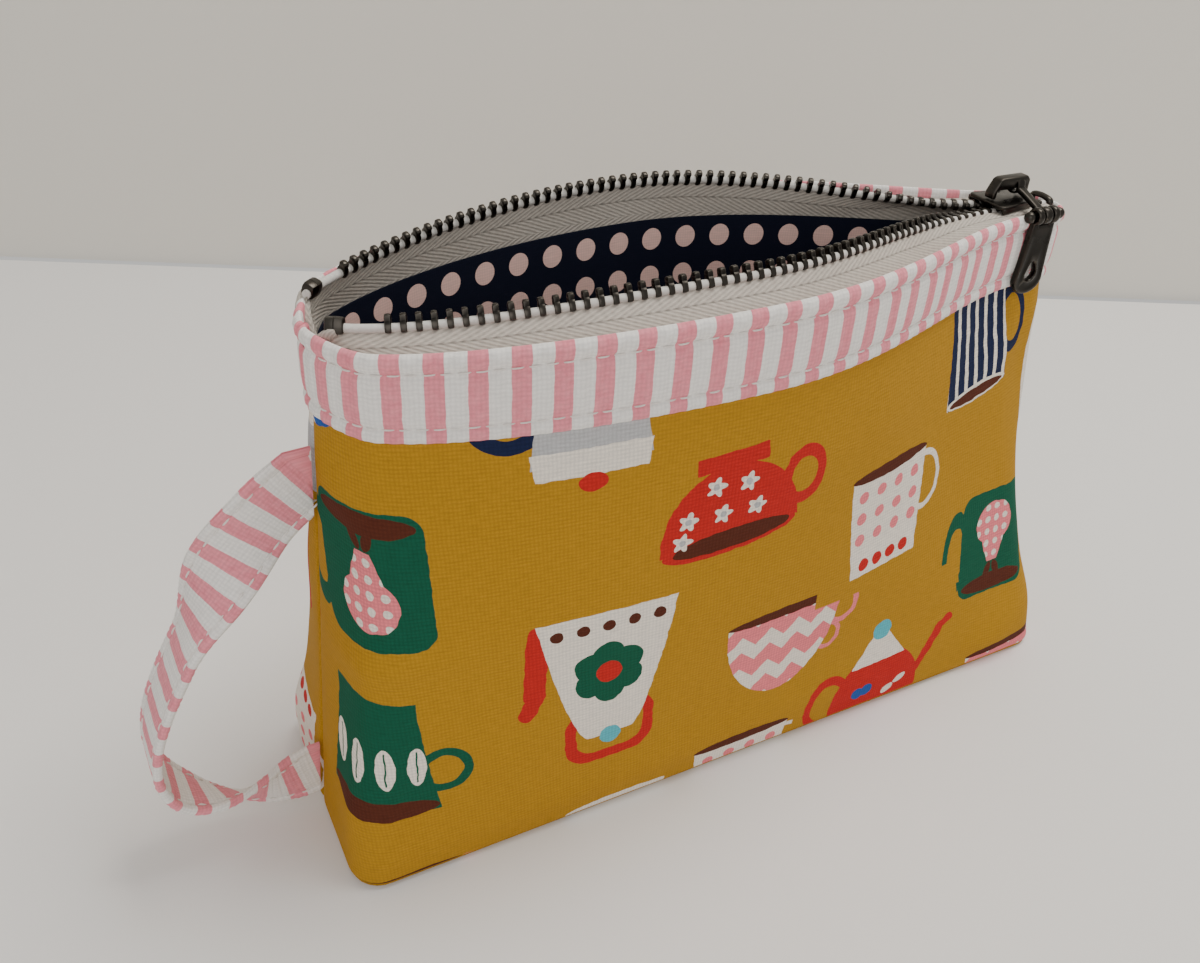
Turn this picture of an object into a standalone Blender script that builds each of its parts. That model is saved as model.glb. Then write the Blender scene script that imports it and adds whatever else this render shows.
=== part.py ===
"""Zippered pouch with a boxed base, a striped band under its metal zip and a
ribbon wrist loop sewn into the left side seam.

Frame: metres, origin at the centre of the base, on the plane it stands on.
+X runs along the pouch to the end where the slider rests, -Y is the front,
+Z is up.  The mouth is held open and the slider stands at its open end.
"""
import math

import bmesh
import bpy
import numpy as np
from mathutils import Matrix, Vector

# ---------------------------------------------------------------- dimensions
BASE_HALF_LENGTH = 0.106      # base centre to either end
BASE_HALF_DEPTH = 0.030       # base centre to front or back edge
BASE_CORNER_R = 0.008         # plan radius of the base corners
TOP_LEFT = 0.0975             # origin to the left end of the mouth
TOP_RIGHT = 0.092             # origin to the right end of the mouth
MOUTH_SAG = 0.0335            # furthest the open mouth bows out, front or back
MOUTH_PEAK_X = -0.014         # where it bows out furthest
CLOSED_HALF = 0.007           # half thickness of the pouch at the closed end
END_CAP_R = 0.008             # rounding of the mouth's two ends
WALL_HEIGHT = 0.112           # height over which base plan turns into mouth plan
MIDDLE_RISE = 0.005           # the middle of the mouth stands above its ends

OUTER_THICK = 0.0006          # cotton canvas
FLEECE_THICK = 0.0008         # fusible interfacing
LINING_THICK = 0.0004         # printed cotton
LAYER_GAP = 0.0003            # clearance between neighbouring pieces

BAND_BOTTOM = 0.1110          # height of the seam under the striped band
BAND_TOP = 0.1265             # height of the band's folded upper edge
BAND_PROUD = 0.0004           # the band stands out from the canvas
BAND_BACK = 0.0006            # and reaches this far into the wall
FLEECE_TOP = 0.113            # interfacing stops below the zip's seam allowance
LINING_TOP = 0.1215           # folded upper edge of the lining

ROW_HEIGHT = 0.130            # height of the zip's chain at its ends
TAPE_THICK = 0.0006
TAPE_BOTTOM = 0.115           # the tape is sewn in behind the band
TAPE_LEFT = -0.091
TAPE_RIGHT = 0.0865
CORD_HALF = 0.0007            # half width of the corded edge
TOOTH_PITCH = 0.0028
TOOTH_GAP = 0.0002             # between neighbouring teeth once the rows mesh
TOOTH_WIDTH = 0.5 * TOOTH_PITCH - TOOTH_GAP
TOOTH_REACH = 0.0026          # cord centre to tooth tip
TOOTH_ROOT = 0.0009           # cord centre to the back of a tooth clamped on it
TOOTH_HALF_HEIGHT = 0.0011
CHAIN_HALF = 0.0021           # chain centre to cord centre where it is closed
CHAIN_SPLIT_X = 0.077         # the two rows part here
CHAIN_RIGHT = 0.0845          # last tooth at the closed end
ROW_SAG = 0.0323              # how far the open rows bow out
STOP_LENGTH = 0.0034

SLIDER_X = 0.0745              # centre of the slider
SLIDER_LENGTH = 0.012
SLIDER_WALL = 0.0009          # thickness of the side lips
SLIDER_PLATE = 0.0010         # thickness of the top and bottom plates
SLIDER_CLEAR = 0.0003
CROWN_WIDTH = 0.0026
CROWN_BAR = 0.0012
CROWN_OPENING = 0.0020        # height of the opening under the crown's bar
CROWN_LENGTH = 0.0107
LINK_X = 0.0775               # plane in which the link and the tab swing
LINK_WIDTH = 0.0024
LINK_THICK = 0.0013
EYE_INNER = 0.0016
EYE_OUTER = 0.0022
PIN_Y = -0.0108               # axis of the pin that carries the tab
PIN_Z = 0.1312
PIN_R = 0.0008
PIN_LENGTH = 0.0094
PIN_BALL_R = 0.0014
LUG_INNER = 0.0012
LUG_OUTER = 0.0021
TAB_WIDTH = 0.0090
TAB_TOP_WIDTH = 0.0070
TAB_LENGTH = 0.0200
TAB_THICK = 0.0018
TAB_HOLE_WIDTH = 0.0034
TAB_HOLE_LENGTH = 0.0062

STRAP_WIDTH = 0.0160
STRAP_THICK = 0.0018
STRAP_REACH = 0.0430          # how far the loop stands out from the seam
STRAP_TOP_Z = 0.0962          # height of its upper end on the side seam
STRAP_BOTTOM_Z = 0.0132       # height of its lower end
STRAP_SEAM_GAP = 0.0006

WALL_COLUMNS = 24             # faces along one wall, from side seam to side seam
WALL_LEVELS = 7              # levels shared by all the walls, so that they nest

# ------------------------------------------------------------------- colours
MUSTARD = (0.45, 0.25, 0.03)
STRIPE_PINK = (0.75, 0.35, 0.38)
WHITE_CLOTH = (0.78, 0.76, 0.72)
NAVY = (0.010, 0.014, 0.035)
FLEECE_WHITE = (0.70, 0.69, 0.66)
TAPE_GREY = (0.52, 0.49, 0.45)
GUNMETAL = (0.11, 0.10, 0.09)


# ------------------------------------------------------------ scene handling
def clear_scene():
    for item in list(bpy.data.objects):
        bpy.data.objects.remove(item, do_unlink=True)


def make_collection(name):
    found = bpy.data.collections.get(name)
    if found is None:
        found = bpy.data.collections.new(name)
        bpy.context.scene.collection.children.link(found)
    return found


def make_material(name, colour, roughness, metallic=0.0):
    mat = bpy.data.materials.new(name)
    mat.use_nodes = True
    shader = mat.node_tree.nodes["Principled BSDF"]
    shader.inputs["Base Color"].default_value = (*colour, 1.0)
    shader.inputs["Roughness"].default_value = roughness
    shader.inputs["Metallic"].default_value = metallic
    return mat


def add_mesh(name, bm, mat, smooth_angle=None):
    """Turn a bmesh into one named object in the pouch's collection."""
    mesh = bpy.data.meshes.new(name)
    bm.to_mesh(mesh)
    bm.free()
    obj = bpy.data.objects.new(name, mesh)
    make_collection("zippered_pouch").objects.link(obj)
    obj.data.materials.append(mat)
    if smooth_angle is not None:
        mesh.shade_smooth()
        mesh.set_sharp_from_angle(angle=math.radians(smooth_angle))
    return obj


def bake_modifiers(obj):
    """Replace an object's mesh by its evaluated one."""
    graph = bpy.context.evaluated_depsgraph_get()
    mesh = bpy.data.meshes.new_from_object(obj.evaluated_get(graph))
    obj.modifiers.clear()
    obj.data = mesh
    return obj


def combine(obj, tools, operation):
    """Cut or join tools into obj, then remove them."""
    for tool in tools:
        mod = obj.modifiers.new("combine", "BOOLEAN")
        mod.operation = operation
        mod.solver = "EXACT"
        mod.object = tool
        bpy.context.view_layer.update()
        bake_modifiers(obj)
        bpy.data.objects.remove(tool, do_unlink=True)
    return obj


# ---------------------------------------------------------- shape of the wall
def mouth_y(x):
    """Half width of the open mouth at x, before its ends are rounded off."""
    left = (x - MOUTH_PEAK_X) / (-TOP_LEFT - MOUTH_PEAK_X)
    right = (x - MOUTH_PEAK_X) / (TOP_RIGHT - MOUTH_PEAK_X)
    s = np.where(x < MOUTH_PEAK_X, left, right)
    power = np.where(x < MOUTH_PEAK_X, 0.55, 2.3)
    bow = np.maximum(1.0 - s * s, 0.0) ** power
    return CLOSED_HALF + (MOUTH_SAG - CLOSED_HALF) * bow


def end_cap(x):
    """1 along the mouth, falling to 0 round its two ends."""
    edge = np.minimum(x + TOP_LEFT, TOP_RIGHT - x)
    inside = np.maximum(1.0 - edge / END_CAP_R, 0.0)
    return np.sqrt(np.maximum(1.0 - inside ** 2, 0.0))


def mouth_plan():
    """Front half of the mouth in plan, from the left seam to the right one."""
    turn = np.linspace(0.0, math.pi, 800)
    x = -TOP_LEFT + (TOP_LEFT + TOP_RIGHT) * (0.5 - 0.5 * np.cos(turn))
    return np.stack([x, -mouth_y(x) * end_cap(x)], 1)


def base_plan():
    """Front half of the base in plan: a rectangle with rounded corners."""
    reach = BASE_HALF_LENGTH - BASE_CORNER_R
    depth = BASE_HALF_DEPTH - BASE_CORNER_R
    turn = np.linspace(0.0, math.pi / 2, 24)
    points = [(-BASE_HALF_LENGTH, 0.0)]
    for a in turn:
        x = -reach - BASE_CORNER_R * math.cos(a)
        points.append((x, -depth - BASE_CORNER_R * math.sin(a)))
    for a in turn:
        x = reach + BASE_CORNER_R * math.sin(a)
        points.append((x, -depth - BASE_CORNER_R * math.cos(a)))
    points.append((BASE_HALF_LENGTH, 0.0))
    return np.array(points)


def along(points, share):
    """Points at the given shares of a line's length."""
    steps = np.linalg.norm(np.diff(points, axis=0), axis=1)
    run = np.concatenate([[0.0], np.cumsum(steps)])
    run /= run[-1]
    x = np.interp(share, run, points[:, 0])
    return np.stack([x, np.interp(share, run, points[:, 1])], -1)


MOUTH = mouth_plan()
BASE = base_plan()


def wall_plan(share, height):
    """The front wall's outer line at one height: base plan into mouth plan."""
    part = min(max(height / WALL_HEIGHT, 0.0), 1.0)
    weight = 1.0 - (1.0 - part) ** 1.15
    return along(BASE, share) * (1.0 - weight) + along(MOUTH, share) * weight


def inset_plan(share, height, inset):
    """The same line moved into the pouch by the inset."""
    step = 0.0015
    here = wall_plan(share, height)
    before = wall_plan(np.clip(share - step, 0.0, 1.0), height)
    after = wall_plan(np.clip(share + step, 0.0, 1.0), height)
    way = after - before
    way[0] = (0.0, -1.0)
    way[-1] = (0.0, 1.0)
    way /= np.linalg.norm(way, axis=1)[:, None]
    inward = np.stack([-way[:, 1], way[:, 0]], 1)
    return here + inward * inset


def rise(x, height):
    """How far the open mouth's middle lifts the wall at this height."""
    reach = max(TOP_LEFT, TOP_RIGHT)
    lift = np.maximum(1.0 - (x / reach) ** 2, 0.0)
    return MIDDLE_RISE * lift * (height / ROW_HEIGHT) ** 2


def wall_shares():
    """Columns of a wall, closer together towards the two side seams."""
    turn = np.linspace(0.0, math.pi, WALL_COLUMNS + 1)
    even = np.linspace(0.0, 1.0, WALL_COLUMNS + 1)
    return 0.75 * (0.5 - 0.5 * np.cos(turn)) + 0.25 * even


def wall_heights(low, high):
    """The wall's two edges and the shared levels between them."""
    level = WALL_HEIGHT / WALL_LEVELS
    inner = [level * k for k in range(1, WALL_LEVELS + 1)]
    return [low] + [h for h in inner if low + 0.002 < h < high - 0.0005] + [high]


def wall_sheet(name, mat, side, inset, thick, low, high):
    """A cloth wall: a grid laid on the wall's shape, thickened inwards."""
    heights = wall_heights(low, high)
    rows = len(heights) - 1
    bm = bmesh.new()
    bmesh.ops.create_grid(bm, x_segments=WALL_COLUMNS, y_segments=rows, size=0.5)
    shares = wall_shares()
    seam_gap = 0.5 * LAYER_GAP
    planes = []
    for height in heights:
        planes.append(inset_plan(shares, height, inset))
    for v in bm.verts:
        col = round((v.co.x + 0.5) * WALL_COLUMNS)
        row = round((v.co.y + 0.5) * rows)
        x, y = planes[row][col]
        y = min(y, -seam_gap)
        v.co = (x, side * -y, heights[row] + float(rise(x, heights[row])))
    if side > 0:
        bmesh.ops.reverse_faces(bm, faces=bm.faces)
    obj = add_mesh(name, bm, mat, 40)
    solid = obj.modifiers.new("thickness", "SOLIDIFY")
    solid.thickness = thick
    solid.offset = -1.0
    solid.use_even_offset = True
    bpy.context.view_layer.update()
    bake_modifiers(obj)
    for v in obj.data.vertices:
        v.co.y = side * max(side * v.co.y, seam_gap)
        v.co.z = max(v.co.z, low)
    return obj


def base_sheet(name, mat, inset, low, thick):
    """A flat base panel: the base plan moved inwards, as a flat outline."""
    front = inset_plan(wall_shares(), low, inset)
    ring = [(x, min(y, 0.0)) for x, y in front]
    ring += [(x, -y) for x, y in ring[-2:0:-1]]
    curve = bpy.data.curves.new(name, "CURVE")
    curve.dimensions = "2D"
    curve.fill_mode = "BOTH"
    curve.extrude = 0.5 * thick
    spline = curve.splines.new("POLY")
    spline.points.add(len(ring) - 1)
    for point, (x, y) in zip(spline.points, ring):
        point.co = (x, y, 0.0, 1.0)
    spline.use_cyclic_u = True
    obj = curve_to_mesh(name, curve, mat)
    for v in obj.data.vertices:
        v.co.z += low + 0.5 * thick
    return obj


def curve_to_mesh(name, curve, mat):
    """Make a curve a closed mesh, its loose caps welded."""
    guide = bpy.data.objects.new(name + "_guide", curve)
    bpy.context.scene.collection.objects.link(guide)
    bpy.context.view_layer.update()
    graph = bpy.context.evaluated_depsgraph_get()
    mesh = bpy.data.meshes.new_from_object(guide.evaluated_get(graph))
    bm = bmesh.new()
    bm.from_mesh(mesh)
    bmesh.ops.remove_doubles(bm, verts=bm.verts, dist=0.000001)
    bmesh.ops.recalc_face_normals(bm, faces=bm.faces)
    bpy.data.objects.remove(guide, do_unlink=True)
    mesh.materials.clear()
    return add_mesh(name, bm, mat)


# ---------------------------------------------------------------- cloth parts
def build_walls(side, word, mats):
    """Canvas, interfacing, lining and striped band of the front or the back."""
    first = OUTER_THICK + LAYER_GAP
    second = first + FLEECE_THICK + LAYER_GAP
    half = 0.5 * LAYER_GAP
    wall_sheet("outer_" + word, mats["canvas"], side, 0.0, OUTER_THICK,
               first, BAND_BOTTOM - half)
    wall_sheet("interfacing_" + word, mats["fleece"], side, first, FLEECE_THICK,
               second, FLEECE_TOP)
    wall_sheet("lining_" + word, mats["lining"], side, second, LINING_THICK,
               second + LINING_THICK + LAYER_GAP, LINING_TOP)
    wall_sheet("band_" + word, mats["band"], side, -BAND_PROUD,
               BAND_PROUD + BAND_BACK, BAND_BOTTOM + half, BAND_TOP)


def build_base(mats):
    """The three flat panels of the boxed base."""
    first = OUTER_THICK + LAYER_GAP
    second = first + FLEECE_THICK + LAYER_GAP
    base_sheet("outer_base", mats["canvas"], 0.0, 0.0, OUTER_THICK)
    base_sheet("interfacing_base", mats["fleece"], first + LAYER_GAP, first, FLEECE_THICK)
    base_sheet("lining_base", mats["lining"], second + LAYER_GAP, second, LINING_THICK)


# ------------------------------------------------------------------------ zip
def row_y(x):
    """Chain centre to the cord's centre at x, on either side."""
    left = (x - MOUTH_PEAK_X) / (-TOP_LEFT - MOUTH_PEAK_X)
    right = (x - MOUTH_PEAK_X) / (CHAIN_SPLIT_X - MOUTH_PEAK_X)
    s = np.where(x < MOUTH_PEAK_X, left, right)
    power = np.where(x < MOUTH_PEAK_X, 0.55, 1.6)
    bow = np.maximum(1.0 - s * s, 0.0) ** power
    return CHAIN_HALF + (ROW_SAG - CHAIN_HALF) * bow


def row_z(x):
    """Height of the cord's centre at x."""
    middle = MOUTH_PEAK_X
    reach = 0.076
    lift = np.maximum(1.0 - ((x - middle) / reach) ** 2, 0.0) ** 1.5
    return ROW_HEIGHT + MIDDLE_RISE * lift


def lean(x):
    """0 where a row's teeth stand straight up, 1 where they lie level."""
    t = np.clip((x - 0.036) / (0.063 - 0.036), 0.0, 1.0)
    return 0.28 + 0.72 * t * t * (3.0 - 2.0 * t)


def row_points(step_start, count, pitch):
    """x of points at equal steps along a row, from its closed end leftwards."""
    x = np.linspace(CHAIN_RIGHT, -TOP_LEFT, 4000)
    path = np.stack([x, row_y(x), row_z(x)], 1)
    steps = np.linalg.norm(np.diff(path, axis=0), axis=1)
    run = np.concatenate([[0.0], np.cumsum(steps)])
    return np.interp(step_start + pitch * np.arange(count), run, x)


def row_frame(x, side):
    """Place, way along the row, way out to the tooth tips, and their normal."""
    step = 0.0002
    ends = []
    for at in (x - step, x + step):
        ends.append(Vector((at, side * float(row_y(at)), float(row_z(at)))))
    place = Vector((x, side * float(row_y(x)), float(row_z(x))))
    way = (ends[1] - ends[0]).normalized()
    angle = float(lean(x)) * math.pi / 2
    tip = Vector((0.0, -side * math.sin(angle), math.cos(angle)))
    tip = (tip - way * tip.dot(way)).normalized()
    return place, way, tip, way.cross(tip)


def tooth_count():
    """Teeth that fit between the closed end and the top stops."""
    x = row_points(0.0, 100, TOOTH_PITCH)
    return int(np.sum(x > TAPE_LEFT + STOP_LENGTH + 0.0022))


def oriented_box(bm, place, way, tip, up, size, shift=(0.0, 0.0, 0.0)):
    """A box along way, tip and up, with its centre moved by the shift."""
    centre = place + way * shift[0] + tip * shift[1] + up * shift[2]
    turn = Matrix((way, tip, up)).transposed().to_4x4()
    scale = Matrix.Diagonal((*size, 1.0))
    bmesh.ops.create_cube(bm, size=1.0, matrix=Matrix.Translation(centre) @ turn @ scale)


def build_teeth(side, word, mats):
    """One row of teeth on its corded edge, joined into one body."""
    offset = 0.0 if side < 0 else 0.5 * TOOTH_PITCH
    name = "zip_teeth_" + word
    bm = bmesh.new()
    for x in row_points(offset, tooth_count(), TOOTH_PITCH):
        place, way, tip, up = row_frame(float(x), side)
        size = (TOOTH_WIDTH, TOOTH_REACH + TOOTH_ROOT, 2.0 * TOOTH_HALF_HEIGHT)
        shift = (0.0, 0.5 * (TOOTH_REACH - TOOTH_ROOT), 0.0)
        oriented_box(bm, place, way, tip, up, size, shift)
    teeth = add_mesh(name, bm, mats["metal"])
    curve = bpy.data.curves.new(name + "_cord", "CURVE")
    curve.dimensions = "3D"
    curve.bevel_depth = CORD_HALF
    curve.bevel_resolution = 0
    curve.use_fill_caps = True
    spline = curve.splines.new("POLY")
    xs = np.linspace(TAPE_RIGHT, TAPE_LEFT, 48)
    spline.points.add(len(xs) - 1)
    for point, x in zip(spline.points, xs):
        point.co = (x, side * float(row_y(x)), float(row_z(x)), 1.0)
    cord = curve_to_mesh(name + "_cord", curve, mats["metal"])
    return combine(teeth, [cord], "UNION")


def tape_line():
    """Where the tape's foot runs in plan, just inside the band."""
    depth = OUTER_THICK + LAYER_GAP + 0.5 * TAPE_THICK
    shares = wall_shares()
    line = inset_plan(shares, WALL_HEIGHT, depth)
    return line[np.concatenate([[True], np.diff(line[:, 0]) > 0])]


TAPE_LINE = tape_line()


def tape_columns():
    """The tape bends where the wall behind it does, and once in between."""
    xs = [x for x in TAPE_LINE[:, 0] if TAPE_LEFT + 0.001 < x < TAPE_RIGHT - 0.001]
    xs = [TAPE_LEFT] + xs + [TAPE_RIGHT]
    middles = [0.5 * (a + b) for a, b in zip(xs, xs[1:]) if b - a > 0.003]
    return sorted(xs + middles)


def tape_profile(x, side):
    """Cross-section of the tape at x, from beside the cord down to its seam."""
    foot = -float(np.interp(x, TAPE_LINE[:, 0], TAPE_LINE[:, 1]))
    flat = float(np.clip((lean(x) - 0.28) / 0.72, 0.0, 1.0))
    angle = flat * math.pi / 2
    edge = TOOTH_ROOT + LAYER_GAP
    top_y = float(row_y(x)) + edge * math.sin(angle)
    top_z = float(row_z(x)) - edge * math.cos(angle)
    foot_z = TAPE_BOTTOM + float(rise(x, TAPE_BOTTOM))
    fall = top_z - foot_z
    upright = ((0.0, 0.0), (0.33, 0.17), (0.67, 0.34), (1.0, 0.5), (1.0, 0.75), (1.0, 1.0))
    level = ((0.0, 0.0), (0.62, 0.0), (0.86, 0.055), (0.96, 0.19), (1.0, 0.5), (1.0, 1.0))
    points = []
    for (f0, d0), (f1, d1) in zip(upright, level):
        f = f0 + (f1 - f0) * flat
        d = d0 + (d1 - d0) * flat
        points.append((side * (top_y + (foot - top_y) * f), top_z - fall * d))
    return points


def build_tape(side, word, mats):
    """Woven tape: its upper edge carries the teeth, its foot is sewn in."""
    xs = tape_columns()
    columns = len(xs) - 1
    bm = bmesh.new()
    bmesh.ops.create_grid(bm, x_segments=columns, y_segments=5, size=0.5)
    profiles = [tape_profile(float(x), side) for x in xs]
    for v in bm.verts:
        col = round((v.co.x + 0.5) * columns)
        row = 5 - round((v.co.y + 0.5) * 5)
        y, z = profiles[col][row]
        v.co = (float(xs[col]), y, z)
    if side > 0:
        bmesh.ops.reverse_faces(bm, faces=bm.faces)
    obj = add_mesh("zip_tape_" + word, bm, mats["tape"], 50)
    solid = obj.modifiers.new("thickness", "SOLIDIFY")
    solid.thickness = TAPE_THICK
    solid.offset = 0.0
    return obj


def build_top_stop(side, word, mats):
    """Metal block clamped over the cord past the last tooth."""
    offset = 0.0 if side < 0 else 0.5 * TOOTH_PITCH
    last = row_points(offset, tooth_count(), TOOTH_PITCH)[-1]
    start = TAPE_LEFT - LAYER_GAP - 0.5 * STOP_LENGTH
    x = min(start, float(last) - 0.5 * TOOTH_WIDTH - 0.5 * STOP_LENGTH - LAYER_GAP)
    place, way, tip, up = row_frame(TAPE_LEFT, side)
    bm = bmesh.new()
    size = (STOP_LENGTH, 0.0030, 0.0026)
    shift = (-(0.5 * STOP_LENGTH + LAYER_GAP), 0.0004, 0.0)
    oriented_box(bm, place, way, tip, up, size, shift)
    obj = add_mesh("top_stop_" + word, bm, mats["metal"])
    soften(obj, 0.0004, 2)
    return obj


def build_bottom_stop(mats):
    """Metal staple across both cords at the closed end."""
    bm = bmesh.new()
    x = TAPE_RIGHT + LAYER_GAP + 0.5 * 0.0022
    size = (0.0022, 2.0 * (CHAIN_HALF + CORD_HALF), 0.0026)
    box = Matrix.Translation((x, 0.0, ROW_HEIGHT)) @ Matrix.Diagonal((*size, 1.0))
    bmesh.ops.create_cube(bm, size=1.0, matrix=box)
    obj = add_mesh("bottom_stop", bm, mats["metal"])
    soften(obj, 0.0004, 2)
    return obj


def soften(obj, width, segments):
    """Round a metal piece's edges."""
    bevel = obj.modifiers.new("edges", "BEVEL")
    bevel.width = width
    bevel.segments = segments
    bevel.limit_method = "ANGLE"
    bevel.angle_limit = math.radians(40)


# --------------------------------------------------------------------- slider
def channel_half(x):
    """Inner half width of the slider at x: it clears the cords it rides on."""
    left = SLIDER_X - 0.5 * SLIDER_LENGTH
    right = SLIDER_X + 0.5 * SLIDER_LENGTH
    wide = float(row_y(left)) + TOOTH_ROOT + SLIDER_CLEAR + 0.0002
    narrow = float(row_y(right)) + TOOTH_ROOT + SLIDER_CLEAR
    return wide + (narrow - wide) * (x - left) / (right - left)


def tapered_plate(name, inner, outer, low, high, side, mat):
    """A slab along the slider whose side faces follow its channel."""
    left = SLIDER_X - 0.5 * SLIDER_LENGTH
    right = SLIDER_X + 0.5 * SLIDER_LENGTH
    bm = bmesh.new()
    bmesh.ops.create_cube(bm, size=1.0)
    for v in bm.verts:
        x = left if v.co.x < 0 else right
        edge = outer if v.co.y > 0 else inner
        if side == 0:
            y = (1 if v.co.y > 0 else -1) * (channel_half(x) + outer)
        else:
            y = side * (channel_half(x) + edge)
        v.co = (x, y, low if v.co.z < 0 else high)
    if side < 0:
        bmesh.ops.reverse_faces(bm, faces=bm.faces)
    return add_mesh(name, bm, mat)


def build_slider_body(mats):
    """Top and bottom plates, side lips with a slot for the tapes, and wedge."""
    metal = mats["metal"]
    teeth = TOOTH_HALF_HEIGHT + SLIDER_CLEAR
    slot = 0.5 * TAPE_THICK + 0.0002
    top = ROW_HEIGHT + teeth
    bottom = ROW_HEIGHT - teeth
    sink = 0.5 * SLIDER_PLATE
    body = tapered_plate("slider_body", 0.0, SLIDER_WALL, top, top + SLIDER_PLATE, 0, metal)
    others = [tapered_plate("floor", 0.0, SLIDER_WALL, bottom - SLIDER_PLATE, bottom, 0, metal)]
    for side in (-1, 1):
        others.append(tapered_plate("lip_top", 0.0, SLIDER_WALL, ROW_HEIGHT + slot,
                                    top + sink, side, metal))
        others.append(tapered_plate("lip_low", 0.0, SLIDER_WALL, bottom - sink,
                                    ROW_HEIGHT - slot, side, metal))
    left = SLIDER_X - 0.5 * SLIDER_LENGTH
    wedge_half = float(row_y(left)) - TOOTH_REACH - SLIDER_CLEAR
    bm = bmesh.new()
    bmesh.ops.create_cube(bm, size=1.0)
    for v in bm.verts:
        near = v.co.x < 0
        y = math.copysign(wedge_half if near else 0.25 * wedge_half, v.co.y)
        z = (top if v.co.z > 0 else bottom) + math.copysign(sink, v.co.z)
        v.co = (left + (0.0001 if near else 0.0016), y, z)
    others.append(add_mesh("wedge", bm, metal))
    combine(body, others, "UNION")
    return body


def plate_top():
    return ROW_HEIGHT + TOOTH_HALF_HEIGHT + SLIDER_CLEAR + SLIDER_PLATE


def bar_height():
    """Height of the centre of the crown's bar."""
    return plate_top() + SLIDER_CLEAR + CROWN_OPENING + 0.5 * CROWN_BAR


def box_piece(name, low, high, mat):
    bm = bmesh.new()
    size = [b - a for a, b in zip(low, high)]
    centre = [0.5 * (a + b) for a, b in zip(low, high)]
    box = Matrix.Translation(centre) @ Matrix.Diagonal((*size, 1.0))
    bmesh.ops.create_cube(bm, size=1.0, matrix=box)
    return add_mesh(name, bm, mat)


def build_crown(mats):
    """Arch over the slider: two legs and a bar that the link hangs on."""
    metal = mats["metal"]
    half = 0.5 * CROWN_WIDTH
    left = SLIDER_X - 0.5 * CROWN_LENGTH
    right = SLIDER_X + 0.5 * CROWN_LENGTH + 0.0008
    foot = plate_top() + SLIDER_CLEAR
    top = bar_height() + 0.5 * CROWN_BAR
    arch = box_piece("slider_crown", (left, -half, foot), (right, half, top), metal)
    hollow = box_piece("crown_hollow", (left + 0.0013, -2 * half, foot - 0.001),
                       (right - 0.0013, 2 * half, top - CROWN_BAR), metal)
    combine(arch, [hollow], "DIFFERENCE")
    soften(arch, 0.0003, 2)
    return arch


def build_lock_spring(mats):
    """Leaf spring folded up under the crown, beside the link."""
    left = SLIDER_X - 0.5 * CROWN_LENGTH + 0.0013 + LAYER_GAP
    foot = plate_top() + SLIDER_CLEAR
    top = foot + CROWN_OPENING - LAYER_GAP
    bend = top - 0.0006
    obj = box_piece("lock_spring", (left, -0.0007, foot), (left + 0.0006, 0.0007, top),
                    mats["steel"])
    arm = box_piece("arm", (left, -0.0007, bend), (left + 0.0020, 0.0007, top),
                    mats["steel"])
    return combine(obj, [arm], "UNION")


def ring(name, x, y, z, inner, outer, width, mat):
    """A flat ring round an axis along X: a turned profile."""
    bm = bmesh.new()
    bmesh.ops.create_cone(bm, cap_ends=True, segments=20, radius1=outer, radius2=outer, depth=width)
    turn = Matrix.Translation((x, y, z)) @ Matrix.Rotation(math.pi / 2, 4, "Y")
    bmesh.ops.transform(bm, matrix=turn, verts=bm.verts)
    disc = add_mesh(name, bm, mat, 40)
    bm = bmesh.new()
    bmesh.ops.create_cone(bm, cap_ends=True, segments=20, radius1=inner, radius2=inner, depth=2 * width)
    bmesh.ops.transform(bm, matrix=turn, verts=bm.verts)
    bore = add_mesh(name + "_bore", bm, mat)
    return combine(disc, [bore], "DIFFERENCE")


def build_link(mats):
    """Link of the pull: an eye round the crown's bar and one round the pin."""
    metal = mats["metal"]
    bar = Vector((LINK_X, 0.0, bar_height()))
    pin = Vector((LINK_X, PIN_Y, PIN_Z))
    link = ring("pull_link", bar.x, bar.y, bar.z, EYE_INNER, EYE_OUTER, LINK_WIDTH, metal)
    far = ring("far_eye", pin.x, pin.y, pin.z, LUG_INNER, LUG_OUTER, LINK_WIDTH, metal)
    way = (pin - bar).normalized()
    start = bar + way * (0.5 * (EYE_INNER + EYE_OUTER))
    stop = pin - way * (0.5 * (LUG_INNER + LUG_OUTER))
    side = Vector((1.0, 0.0, 0.0))
    bm = bmesh.new()
    size = ((stop - start).length, LINK_WIDTH, LINK_THICK)
    oriented_box(bm, (start + stop) / 2, way, side, way.cross(side), size)
    shank = add_mesh("shank", bm, metal)
    return combine(link, [shank, far], "UNION")


def turned(name, profile, steps, mat):
    """A profile of (radius, height) points turned about Z by a Screw."""
    bm = bmesh.new()
    verts = [bm.verts.new((r, 0.0, h)) for r, h in profile]
    for a, b in zip(verts, verts[1:]):
        bm.edges.new((a, b))
    obj = add_mesh(name, bm, mat)
    screw = obj.modifiers.new("turn", "SCREW")
    screw.steps = steps
    screw.render_steps = steps
    screw.use_merge_vertices = True
    screw.merge_threshold = 0.00001
    bpy.context.view_layer.update()
    bake_modifiers(obj)
    return obj


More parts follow.
